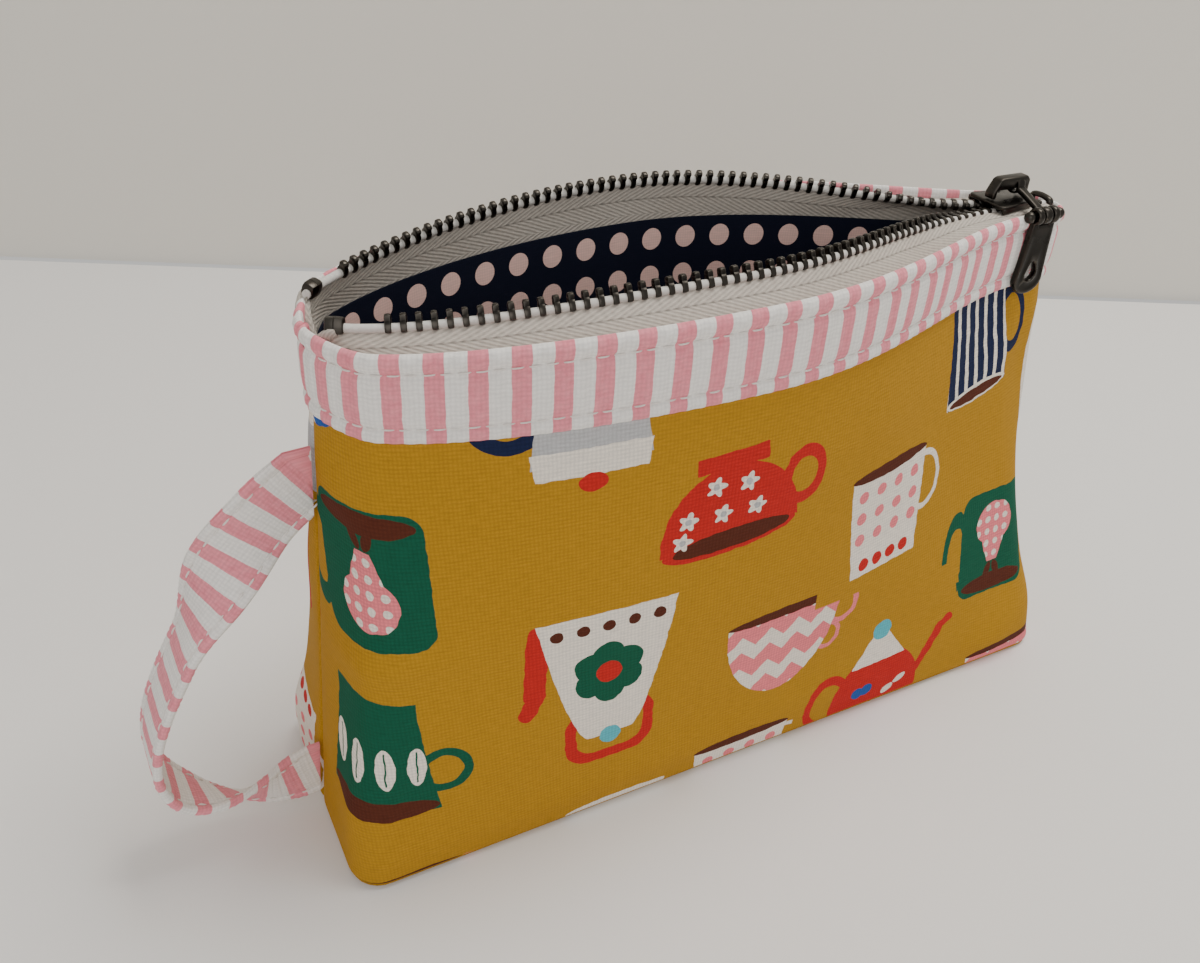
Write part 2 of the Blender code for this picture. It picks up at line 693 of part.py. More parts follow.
def build_pin(mats):
    """Pin with ball ends, riveted through the link's eye and the tab's lugs."""
    half = 0.5 * PIN_LENGTH
    start = math.asin(PIN_R / PIN_BALL_R)
    profile = []
    for k in range(7):
        a = (math.pi - start) * k / 6
        profile.append((PIN_BALL_R * math.sin(a), half + PIN_BALL_R * math.cos(a)))
    profile += [(r, -h) for r, h in reversed(profile)]
    profile[0] = (0.0, profile[0][1])
    profile[-1] = (0.0, profile[-1][1])
    pin = turned("pull_pin", profile, 16, mats["metal"])
    turn = Matrix.Rotation(math.pi / 2, 4, "Y")
    pin.data.transform(Matrix.Translation((LINK_X, PIN_Y, PIN_Z)) @ turn)
    pin.data.shade_smooth()
    pin.data.set_sharp_from_angle(angle=math.radians(40))
    return pin


def tab_outline():
    """Front view of the tab: narrow at the pin, round at its lower end."""
    half = 0.5 * TAB_WIDTH
    top_half = 0.5 * TAB_TOP_WIDTH
    top = -LUG_OUTER - 0.0002
    low = -TAB_LENGTH + half
    points = [(-top_half, top), (-half, low)]
    for k in range(1, 12):
        a = math.pi * k / 12
        points.append((-half * math.cos(a), low - half * math.sin(a)))
    points += [(half, low), (top_half, top)]
    return points


def hole_outline():
    """Drop-shaped hole near the tab's lower end."""
    r = 0.5 * TAB_HOLE_WIDTH
    low = -TAB_LENGTH + 0.5 * TAB_WIDTH - 0.0006
    points = []
    for k in range(13):
        a = math.pi * (k / 12)
        points.append((-r * math.cos(a), low - r * math.sin(a)))
    points.append((0.3 * r, low + TAB_HOLE_LENGTH - 2 * r))
    points.append((-0.3 * r, low + TAB_HOLE_LENGTH - 2 * r))
    return points


def build_tab(mats):
    """Pull tab: a flat plate hanging from two lugs on the pin."""
    metal = mats["metal"]
    curve = bpy.data.curves.new("tab", "CURVE")
    curve.dimensions = "2D"
    curve.fill_mode = "BOTH"
    curve.extrude = 0.5 * TAB_THICK
    for outline in (tab_outline(), hole_outline()):
        spline = curve.splines.new("POLY")
        spline.points.add(len(outline) - 1)
        for point, (x, z) in zip(spline.points, outline):
            point.co = (x, z, 0.0, 1.0)
        spline.use_cyclic_u = True
    tab = curve_to_mesh("pull_tab", curve, metal)
    stand = Matrix.Translation((LINK_X, PIN_Y, PIN_Z)) @ Matrix.Rotation(math.pi / 2, 4, "X")
    tab.data.transform(stand)
    lugs = []
    gap = 0.5 * LINK_WIDTH + LAYER_GAP
    width = 0.5 * TAB_TOP_WIDTH - gap
    for side in (-1, 1):
        x = LINK_X + side * (gap + 0.5 * width)
        lugs.append(ring("lug", x, PIN_Y, PIN_Z, LUG_INNER, LUG_OUTER, width, metal))
        neck_low = (x - 0.5 * width, PIN_Y - 0.5 * TAB_THICK, PIN_Z - LUG_OUTER - 0.0008)
        neck_high = (x + 0.5 * width, PIN_Y + 0.5 * TAB_THICK, PIN_Z - LUG_INNER - 0.0003)
        lugs.append(box_piece("neck", neck_low, neck_high, metal))
    return combine(tab, lugs, "UNION")


# ---------------------------------------------------------------- wrist strap
def seam_x(height):
    """The left side seam at one height."""
    return float(wall_plan(np.array([0.0]), height)[0, 0])


def strap_path():
    """Centre line of the loop in the plane of the side seam, top to bottom."""
    top_x = seam_x(STRAP_TOP_Z) - STRAP_SEAM_GAP
    low_x = seam_x(STRAP_BOTTOM_Z) - STRAP_SEAM_GAP
    drop = STRAP_TOP_Z - STRAP_BOTTOM_Z
    far = top_x - STRAP_REACH
    shape = ((0.0, 1.0), (0.20, 0.925), (0.38, 0.83), (0.55, 0.71), (0.705, 0.57), (0.84, 0.44),
             (0.93, 0.32), (0.955, 0.20), (0.87, 0.09), (0.67, 0.01), (0.42, -0.02))
    points = [(top_x + (far - top_x) * a, STRAP_BOTTOM_Z + drop * b) for a, b in shape]
    points.append((low_x, STRAP_BOTTOM_Z))
    return smooth_line(np.array(points), 40)


def smooth_line(points, count):
    """Points at equal steps on a smooth curve through the given ones."""
    fine = []
    padded = np.vstack([2 * points[0] - points[1], points, 2 * points[-1] - points[-2]])
    for k in range(1, len(padded) - 2):
        a, b, c, d = padded[k - 1], padded[k], padded[k + 1], padded[k + 2]
        for t in np.linspace(0.0, 1.0, 16, endpoint=False):
            bend = (2 * a - 5 * b + 4 * c - d) * t * t + (3 * b - a - 3 * c + d) * t ** 3
            fine.append(0.5 * (2 * b + (c - a) * t + bend))
    fine.append(points[-1])
    return along(np.array(fine), np.linspace(0.0, 1.0, count + 1))


def strap_twist(share):
    """The ribbon lies in the seam's plane at both ends and turns between."""
    rising = min(max((share - 0.16) / 0.34, 0.0), 1.0)
    falling = min(max((1.0 - share) / 0.34, 0.0), 1.0)
    smooth = rising * rising * (3 - 2 * rising) * falling * falling * (3 - 2 * falling)
    return math.radians(84.0) * smooth


def build_strap(mats):
    """Ribbon folded lengthwise, sewn by both ends into the left side seam."""
    path = strap_path()
    count = len(path) - 1
    bm = bmesh.new()
    bmesh.ops.create_grid(bm, x_segments=count, y_segments=1, size=0.5)
    for v in bm.verts:
        col = round((v.co.x + 0.5) * count)
        before = path[max(col - 1, 0)]
        after = path[min(col + 1, count)]
        way = after - before
        way = way / np.linalg.norm(way)
        out = Vector((-way[1], 0.0, way[0])) * -1.0
        turn = strap_twist(col / count)
        across = out * math.cos(turn) + Vector((0.0, 1.0, 0.0)) * math.sin(turn)
        centre = Vector((path[col][0], 0.0, path[col][1]))
        v.co = centre + across * (v.co.y * STRAP_WIDTH)
        clear = STRAP_SEAM_GAP + 0.001 * min(col, count - col)
        v.co.x = min(v.co.x, seam_x(v.co.z) - clear)
        if col in (0, count):
            v.co.x = seam_x(v.co.z) - clear
    obj = add_mesh("wrist_strap", bm, mats["band"], 50)
    solid = obj.modifiers.new("thickness", "SOLIDIFY")
    solid.thickness = STRAP_THICK
    solid.offset = 0.0
    return obj


# ----------------------------------------------------------------------- main
def main():
    clear_scene()
    mats = {
        "canvas": make_material("mustard_canvas", MUSTARD, 0.85),
        "band": make_material("striped_cotton", STRIPE_PINK, 0.85),
        "fleece": make_material("white_fleece", FLEECE_WHITE, 0.95),
        "lining": make_material("navy_lining", NAVY, 0.85),
        "tape": make_material("grey_tape", TAPE_GREY, 0.8),
        "metal": make_material("gunmetal", GUNMETAL, 0.35, 1.0),
        "steel": make_material("spring_steel", WHITE_CLOTH, 0.3, 1.0),
    }
    build_base(mats)
    for side, word in ((-1, "front"), (1, "back")):
        build_walls(side, word, mats)
        build_tape(side, word, mats)
        build_teeth(side, word, mats)
        build_top_stop(side, word, mats)
    build_bottom_stop(mats)
    build_slider_body(mats)
    build_crown(mats)
    build_lock_spring(mats)
    build_link(mats)
    build_pin(mats)
    build_tab(mats)
    build_strap(mats)


main()
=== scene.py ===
import math

import bmesh
import bpy
import numpy as np
from mathutils import Matrix, Vector


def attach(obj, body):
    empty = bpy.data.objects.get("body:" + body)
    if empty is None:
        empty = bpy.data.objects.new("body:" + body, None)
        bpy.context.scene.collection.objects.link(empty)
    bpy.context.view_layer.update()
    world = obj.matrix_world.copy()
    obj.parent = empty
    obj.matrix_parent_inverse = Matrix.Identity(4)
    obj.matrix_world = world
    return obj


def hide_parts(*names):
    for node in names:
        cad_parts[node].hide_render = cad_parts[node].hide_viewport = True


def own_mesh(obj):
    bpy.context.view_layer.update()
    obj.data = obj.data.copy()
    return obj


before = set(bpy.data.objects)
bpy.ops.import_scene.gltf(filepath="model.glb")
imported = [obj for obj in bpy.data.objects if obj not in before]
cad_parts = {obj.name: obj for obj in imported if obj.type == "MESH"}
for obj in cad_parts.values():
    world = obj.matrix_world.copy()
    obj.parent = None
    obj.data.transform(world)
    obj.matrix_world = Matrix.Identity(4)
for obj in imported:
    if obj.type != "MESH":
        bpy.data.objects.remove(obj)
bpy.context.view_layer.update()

# ------------------------------------------------ the pouch's shape, as in the CAD
BASE_HALF_LENGTH = 0.106
BASE_HALF_DEPTH = 0.030
BASE_CORNER_R = 0.008
TOP_LEFT = 0.0975
TOP_RIGHT = 0.092
MOUTH_SAG = 0.0335
MOUTH_PEAK_X = -0.014
CLOSED_HALF = 0.007
END_CAP_R = 0.008
WALL_HEIGHT = 0.112
MIDDLE_RISE = 0.005
OUTER_THICK = 0.0006
FLEECE_THICK = 0.0008
LINING_THICK = 0.0004
LAYER_GAP = 0.0003
BAND_BOTTOM = 0.1110
BAND_TOP = 0.1265
FLEECE_TOP = 0.113
LINING_TOP = 0.1215
ROW_HEIGHT = 0.130
TAPE_THICK = 0.0006
TAPE_BOTTOM = 0.115
TAPE_LEFT = -0.091
TAPE_RIGHT = 0.0865
CORD_HALF = 0.0007
TOOTH_PITCH = 0.0028
TOOTH_REACH = 0.0026
TOOTH_ROOT = 0.0009
CHAIN_HALF = 0.0021
CHAIN_SPLIT_X = 0.077
CHAIN_RIGHT = 0.0845
ROW_SAG = 0.0323
FRONT_ROW_SAG = 0.0228
STOP_LENGTH = 0.0034
SLIDER_X = 0.0745
SLIDER_LENGTH = 0.012
SLIDER_LEFT = SLIDER_X - 0.5 * SLIDER_LENGTH
SLIDER_RIGHT = SLIDER_X + 0.5 * SLIDER_LENGTH
SLIDER_LIP = 0.0009           # how far the plates reach past the channel
SLIDER_PLATE = 0.0010
SLIDER_ROOM = 0.0014          # half height of the channel for the teeth
LINK_X = 0.0775
PIN_Y = -0.0108
PIN_Z = 0.1312
BAR_Z = 0.1353
TAB_LENGTH = 0.0200
TAB_ROUND = 0.8               # share of the tab's length where its round end begins
EYE_RADIUS = 0.00165          # of the rings round the pin, to the middle of their wire
PIN_BALL = 0.0014
PIN_RADIUS = 0.00078
PIN_TURN = 0.82 * math.pi     # how far round its ball each end of the pin goes
BOTTOM_STOP_X = 0.0879
STRAP_REACH = 0.0430
STRAP_TOP_Z = 0.0962
STRAP_BOTTOM_Z = 0.0132
STRAP_SEAM_GAP = 0.0006


def mouth_y(x):
    """Half width of the open mouth at x, before its ends are rounded off."""
    left = (x - MOUTH_PEAK_X) / (-TOP_LEFT - MOUTH_PEAK_X)
    right = (x - MOUTH_PEAK_X) / (TOP_RIGHT - MOUTH_PEAK_X)
    s = np.where(x < MOUTH_PEAK_X, left, right)
    power = np.where(x < MOUTH_PEAK_X, 0.55, 2.3)
    return CLOSED_HALF + (MOUTH_SAG - CLOSED_HALF) * np.maximum(1.0 - s * s, 0.0) ** power


def mouth_plan():
    """Front half of the mouth in plan, from the left seam to the right one."""
    turn = np.linspace(0.0, math.pi, 800)
    x = -TOP_LEFT + (TOP_LEFT + TOP_RIGHT) * (0.5 - 0.5 * np.cos(turn))
    edge = np.minimum(x + TOP_LEFT, TOP_RIGHT - x)
    inside = np.maximum(1.0 - edge / END_CAP_R, 0.0)
    cap = np.sqrt(np.maximum(1.0 - inside ** 2, 0.0))
    return np.stack([x, -mouth_y(x) * cap], 1)


def base_plan():
    """Front half of the base in plan: a rectangle with rounded corners."""
    reach = BASE_HALF_LENGTH - BASE_CORNER_R
    depth = BASE_HALF_DEPTH - BASE_CORNER_R
    points = [(-BASE_HALF_LENGTH, 0.0)]
    for a in np.linspace(0.0, math.pi / 2, 24):
        points.append((-reach - BASE_CORNER_R * math.cos(a), -depth - BASE_CORNER_R * math.sin(a)))
    for a in np.linspace(0.0, math.pi / 2, 24):
        points.append((reach + BASE_CORNER_R * math.sin(a), -depth - BASE_CORNER_R * math.cos(a)))
    points.append((BASE_HALF_LENGTH, 0.0))
    return np.array(points)


def run_length(points):
    """Distance walked along a line, at each of its points."""
    steps = np.linalg.norm(np.diff(points, axis=0), axis=1)
    return np.concatenate([[0.0], np.cumsum(steps)])


def along(points, share):
    """Points at the given shares of a line's length."""
    run = run_length(points)
    run = run / run[-1]
    return np.stack([np.interp(share, run, points[:, k]) for k in range(points.shape[1])], -1)


MOUTH = mouth_plan()
BASE = base_plan()
MOUTH_RUN = float(run_length(MOUTH)[-1])
BASE_RUN = float(run_length(BASE)[-1])


def weight(height):
    """Share of the mouth's line in the wall's line at a height; the rest is the base's."""
    part = min(max(height / WALL_HEIGHT, 0.0), 1.0)
    return 1.0 - (1.0 - part) ** 1.15


def wall_run(height):
    """Length of one wall's line at a height, from seam to seam."""
    return BASE_RUN + (MOUTH_RUN - BASE_RUN) * weight(height)


def plan(share, height, inset=0.0):
    """The front wall's line at one height, moved into the pouch by the inset."""
    def line(at):
        return along(BASE, at) * (1.0 - weight(height)) + along(MOUTH, at) * weight(height)
    step = 0.0015
    way = line(np.clip(share + step, 0.0, 1.0)) - line(np.clip(share - step, 0.0, 1.0))
    way[share <= 0.0] = (0.0, -1.0)
    way[share >= 1.0] = (0.0, 1.0)
    way /= np.linalg.norm(way, axis=1)[:, None]
    inward = np.stack([-way[:, 1], way[:, 0]], 1)
    return line(share) + inward * np.asarray(inset).reshape(-1, 1)


def rise(x, height):
    """How far the open mouth's middle lifts the wall at this height."""
    lift = np.maximum(1.0 - (x / max(TOP_LEFT, TOP_RIGHT)) ** 2, 0.0)
    return MIDDLE_RISE * lift * (height / ROW_HEIGHT) ** 2


# ------------------------------------------------------------------ mesh making
def add_object(name, data):
    """A named object in the scene for a mesh, a lamp or a camera."""
    obj = bpy.data.objects.new(name, data)
    bpy.context.scene.collection.objects.link(obj)
    return obj


def round_shading(mesh, degrees):
    """Smooth shading, but for edges that turn by more than the angle given."""
    mesh.shade_smooth()
    mesh.set_sharp_from_angle(angle=math.radians(degrees))


def make_object(name, verts, faces, mat, uvs=None, smooth=50.0):
    """A named object whose faces point outwards, with a UV map in metres."""
    mesh = bpy.data.meshes.new(name)
    mesh.from_pydata([tuple(v) for v in verts], [], faces)
    if uvs is not None:
        layer = mesh.uv_layers.new(name="cloth")
        flat = np.array([c for face in uvs for c in face], np.float32)
        layer.data.foreach_set("uv", flat.ravel())
    bm = bmesh.new()
    bm.from_mesh(mesh)
    bmesh.ops.recalc_face_normals(bm, faces=bm.faces)
    bm.to_mesh(mesh)
    bm.free()
    mesh.materials.append(mat)
    round_shading(mesh, smooth)
    return add_object(name, mesh)


def loft(rings, u, v):
    """Vertices, faces and UVs of a closed body through rings of points.

    rings is [station, point, xyz]; u is [station] or [station, point]; v is
    [point] or [station, point].  Both ends are closed by strips.
    """
    rings = np.asarray(rings, float)
    stations, points = rings.shape[:2]
    u = np.broadcast_to(np.asarray(u, float).reshape(stations, -1), (stations, points))
    v = np.broadcast_to(np.asarray(v, float), (stations, points))
    faces = []
    uvs = []
    for i in range(stations - 1):
        for j in range(points):
            k = (j + 1) % points
            quad = ((i, j), (i, k), (i + 1, k), (i + 1, j))
            faces.append([a * points + b for a, b in quad])
            uvs.append([(u[a, b], v[a, b]) for a, b in quad])
    for i in (0, stations - 1):
        for j in range(points // 2 - 1):
            quad = ((i, j), (i, j + 1), (i, points - 2 - j), (i, points - 1 - j))
            faces.append([a * points + b for a, b in quad])
            uvs.append([(u[a, b], v[a, b]) for a, b in quad])
    return rings.reshape(-1, 3), faces, uvs


def loft_object(name, rings, u, v, mat, smooth=50.0):
    verts, faces, uvs = loft(rings, u, v)
    return make_object(name, verts, faces, mat, uvs, smooth)


def many_lofts(name, parts, mat, smooth=50.0):
    """One object made of many small closed bodies, such as stitches or teeth."""
    verts = []
    faces = []
    uvs = []
    for rings in parts:
        rings = np.asarray(rings)
        start = len(verts)
        v, f, t = loft(rings, np.zeros(len(rings)), np.zeros(rings.shape[1]))
        verts.extend(v)
        faces.extend([[k + start for k in face] for face in f])
        uvs.extend(t)
    return make_object(name, verts, faces, mat, uvs, smooth)


def mirror_y(rings, side):
    rings = np.array(rings, float)
    rings[..., 1] *= -side
    return rings


def keep_on_pouch(obj, slot, *nodes):
    """Cloth of the pouch: it stands for its CAD solids and rides the pouch's body."""
    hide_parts(*nodes)
    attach(obj, "pouch")
    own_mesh(obj)
    return obj


# -------------------------------------------------------------------- materials
CLOTH_GLOSS = 0.15


class Paint:
    """A node material with short names for the nodes used here."""

    def __init__(self, name, roughness, metallic=0.0, sheen=0.0):
        self.mat = bpy.data.materials.new(name)
        self.mat.use_nodes = True
        self.tree = self.mat.node_tree
        self.shader = self.tree.nodes["Principled BSDF"]
        self.shader.inputs["Roughness"].default_value = roughness
        self.shader.inputs["Metallic"].default_value = metallic
        self.shader.inputs["Sheen Weight"].default_value = sheen
        self.shader.inputs["Sheen Roughness"].default_value = 0.5
        if metallic == 0.0:
            self.shader.inputs["Specular IOR Level"].default_value = CLOTH_GLOSS

    def node(self, kind, *inputs, **options):
        node = self.tree.nodes.new("ShaderNode" + kind)
        for key, value in options.items():
            setattr(node, key, value)
        for socket, value in zip(node.inputs, inputs):
            self.put(socket, value)
        return node

    def put(self, socket, value):
        if value is None:
            return
        if isinstance(value, bpy.types.NodeSocket):
            self.tree.links.new(value, socket)
        else:
            socket.default_value = value

    def math(self, operation, *inputs):
        return self.node("Math", *inputs, operation=operation).outputs[0]

    def vector(self, operation, *inputs):
        node = self.node("VectorMath", *inputs, operation=operation)
        scalar = operation in ("LENGTH", "DOT_PRODUCT", "DISTANCE")
        return node.outputs[1 if scalar else 0]

    def split(self, vector):
        node = self.node("SeparateXYZ", vector)
        return node.outputs[0], node.outputs[1]

    def join(self, x, y, z=0.0):
        return self.node("CombineXYZ", x, y, z).outputs[0]

    def uv(self):
        return self.node("UVMap", uv_map="cloth").outputs[0]

    def position(self):
        return self.node("TexCoord").outputs["Object"]

    def noise(self, vector, scale, detail=2.0, rough=0.5):
        node = self.node("TexNoise")
        self.put(node.inputs["Vector"], vector)
        node.inputs["Scale"].default_value = scale
        node.inputs["Detail"].default_value = detail
        node.inputs["Roughness"].default_value = rough
        return node.outputs[0]

    def mix(self, factor, a, b):
        node = self.tree.nodes.new("ShaderNodeMix")
        node.data_type = "RGBA"
        self.put(node.inputs[0], factor)
        self.put(node.inputs[6], self.rgba(a))
        self.put(node.inputs[7], self.rgba(b))
        return node.outputs[2]

    def rgba(self, colour):
        return (*colour, 1.0) if isinstance(colour, tuple) else colour

    def shade(self, colour, factor):
        """A colour made lighter or darker by a factor that varies."""
        grey = self.join(factor, factor, factor)
        return self.vector("MULTIPLY", colour, grey)

    def remap(self, value, low, high):
        return self.math("MULTIPLY_ADD", value, high - low, low)

    def place(self, uv, x, y, turn=0.0, width=2.0, height=2.0):
        """Coordinates centred on (x, y), turned, with half the size as 1."""
        node = self.node("Mapping", uv, vector_type="TEXTURE")
        node.inputs["Location"].default_value = (x, y, 0.0)
        node.inputs["Rotation"].default_value = (0.0, 0.0, math.radians(turn))
        node.inputs["Scale"].default_value = (0.5 * width, 0.5 * height, 1.0)
        return node.outputs[0]

    def ellipse(self, uv, x, y, width, height, turn=0.0):
        spot = self.place(uv, x, y, turn, width, height)
        return self.math("LESS_THAN", self.vector("LENGTH", spot), 1.0)

    def hoop(self, uv, x, y, width, height, line, turn=0.0):
        """A closed oval line, such as a cup's handle."""
        spot = self.place(uv, x, y, turn, width, height)
        off = self.math("ABSOLUTE", self.math("SUBTRACT", self.vector("LENGTH", spot), 1.0))
        return self.math("LESS_THAN", off, line / min(width, height))

    def block(self, uv, x, y, width, height, turn=0.0, corner=0.3):
        """A rectangle with rounded corners."""
        spot = self.vector("ABSOLUTE", self.place(uv, x, y, turn))
        core = (0.5 * width - corner, 0.5 * height - corner, 0.0)
        beyond = self.vector("MAXIMUM", self.vector("SUBTRACT", spot, core), (0.0, 0.0, 0.0))
        return self.math("LESS_THAN", self.vector("LENGTH", beyond), corner)

    def cup(self, uv, x, y, rim, foot, height, power=1.0, turn=0.0):
        """A vessel's side: rim wide above, foot wide below, height between."""
        px, py = self.split(self.place(uv, x, y, turn))
        part = self.math("MULTIPLY_ADD", py, 1.0 / height, 0.5)
        inside = self.math("MINIMUM", self.math("GREATER_THAN", part, 0.0),
                           self.math("LESS_THAN", part, 1.0))
        bent = self.math("POWER", self.math("MAXIMUM", part, 0.0), power)
        half = self.math("MULTIPLY_ADD", bent, 0.5 * (rim - foot), 0.5 * foot)
        across = self.math("LESS_THAN", self.math("ABSOLUTE", px), half)
        return self.math("MINIMUM", inside, across)

    def flower(self, uv, x, y, radius, petals, depth=0.22, turn=0.0):
        spot = self.place(uv, x, y, turn)
        px, py = self.split(spot)
        wave = self.math("COSINE", self.math("MULTIPLY", self.math("ARCTAN2", py, px), petals))
        edge = self.math("MULTIPLY_ADD", wave, depth * radius, radius * (1.0 - depth))
        return self.math("LESS_THAN", self.vector("LENGTH", spot), edge)

    def dots(self, uv, pitch_x, pitch_y, radius, x=0.0, y=0.0):
        """A square grid of round dots."""
        px, py = self.split(self.place(uv, x, y))
        wx = self.math("WRAP", px, 0.5 * pitch_x, -0.5 * pitch_x)
        wy = self.math("WRAP", py, 0.5 * pitch_y, -0.5 * pitch_y)
        return self.math("LESS_THAN", self.vector("LENGTH", self.join(wx, wy)), radius)

    def both(self, *masks):
        result = masks[0]
        for mask in masks[1:]:
            result = self.math("MINIMUM", result, mask)
        return result

    def either(self, *masks):
        result = masks[0]
        for mask in masks[1:]:
            result = self.math("MAXIMUM", result, mask)
        return result

    def without(self, mask, hole):
        return self.math("GREATER_THAN", self.math("SUBTRACT", mask, hole), 0.5)

    def finish(self, colour, height=None, strength=0.4, distance=0.0002):
        self.put(self.shader.inputs["Base Color"], self.rgba(colour))
        if height is not None:
            bump = self.node("Bump")
            bump.inputs["Strength"].default_value = strength
            bump.inputs["Distance"].default_value = distance
            self.put(bump.inputs["Height"], height)
            self.put(self.shader.inputs["Normal"], bump.outputs[0])
        return self.mat

    def weave(self, uv, pitch):
        """Plain weave: round threads over and under one another, a little uneven."""
        drift = self.noise(uv, 160.0)
        shifted = self.vector("ADD", uv, self.join(self.remap(drift, -0.0003, 0.0003),
                                                   self.remap(drift, 0.00025, -0.00025)))
        x, y = self.split(shifted)
        warp = self.thread(x, y, pitch)
        weft = self.thread(y, x, pitch, 0.5)
        over = self.math("MAXIMUM", warp, weft)
        slub = self.noise(self.vector("MULTIPLY", uv, (1.0, 4.0, 1.0)), 420.0, 3.0)
        return self.math("MULTIPLY_ADD", slub, 0.75, self.math("MULTIPLY", over, 0.6))

    def thread(self, across, along, pitch, shift=0.0):
        """Height of one set of threads: round across, rising and falling along."""
        place = self.math("MULTIPLY_ADD", across, 1.0 / pitch, shift)
        near = self.math("ABSOLUTE", self.math("SUBTRACT", self.math("FRACT", place), 0.5))
        round_off = self.math("MULTIPLY_ADD", near, -1.6, 1.0)
        row = self.math("MULTIPLY", self.math("FLOOR", place), 0.5)
        beat = self.math("MULTIPLY_ADD", along, 0.5 / pitch, row)
        wave = self.math("COSINE", self.math("MULTIPLY", self.math("ADD", beat, 0.5 * shift), 2.0 * math.pi))
        return self.math("MULTIPLY", round_off, self.remap(wave, 0.45, 0.95))


MUSTARD = (0.420, 0.215, 0.013)
GROUND_DARK = (0.390, 0.198, 0.011)
GREEN = (0.004, 0.085, 0.046)
RED = (0.480, 0.018, 0.016)
PINK = (0.760, 0.190, 0.215)
CREAM = (0.760, 0.700, 0.620)
BROWN = (0.085, 0.020, 0.010)
BLUE = (0.020, 0.085, 0.330)
AQUA = (0.085, 0.420, 0.500)
INK_NAVY = (0.008, 0.014, 0.050)
GREY_PRINT = (0.430, 0.430, 0.440)
STRIPE_WHITE = (0.800, 0.775, 0.745)


CANVAS_PITCH = 0.00085


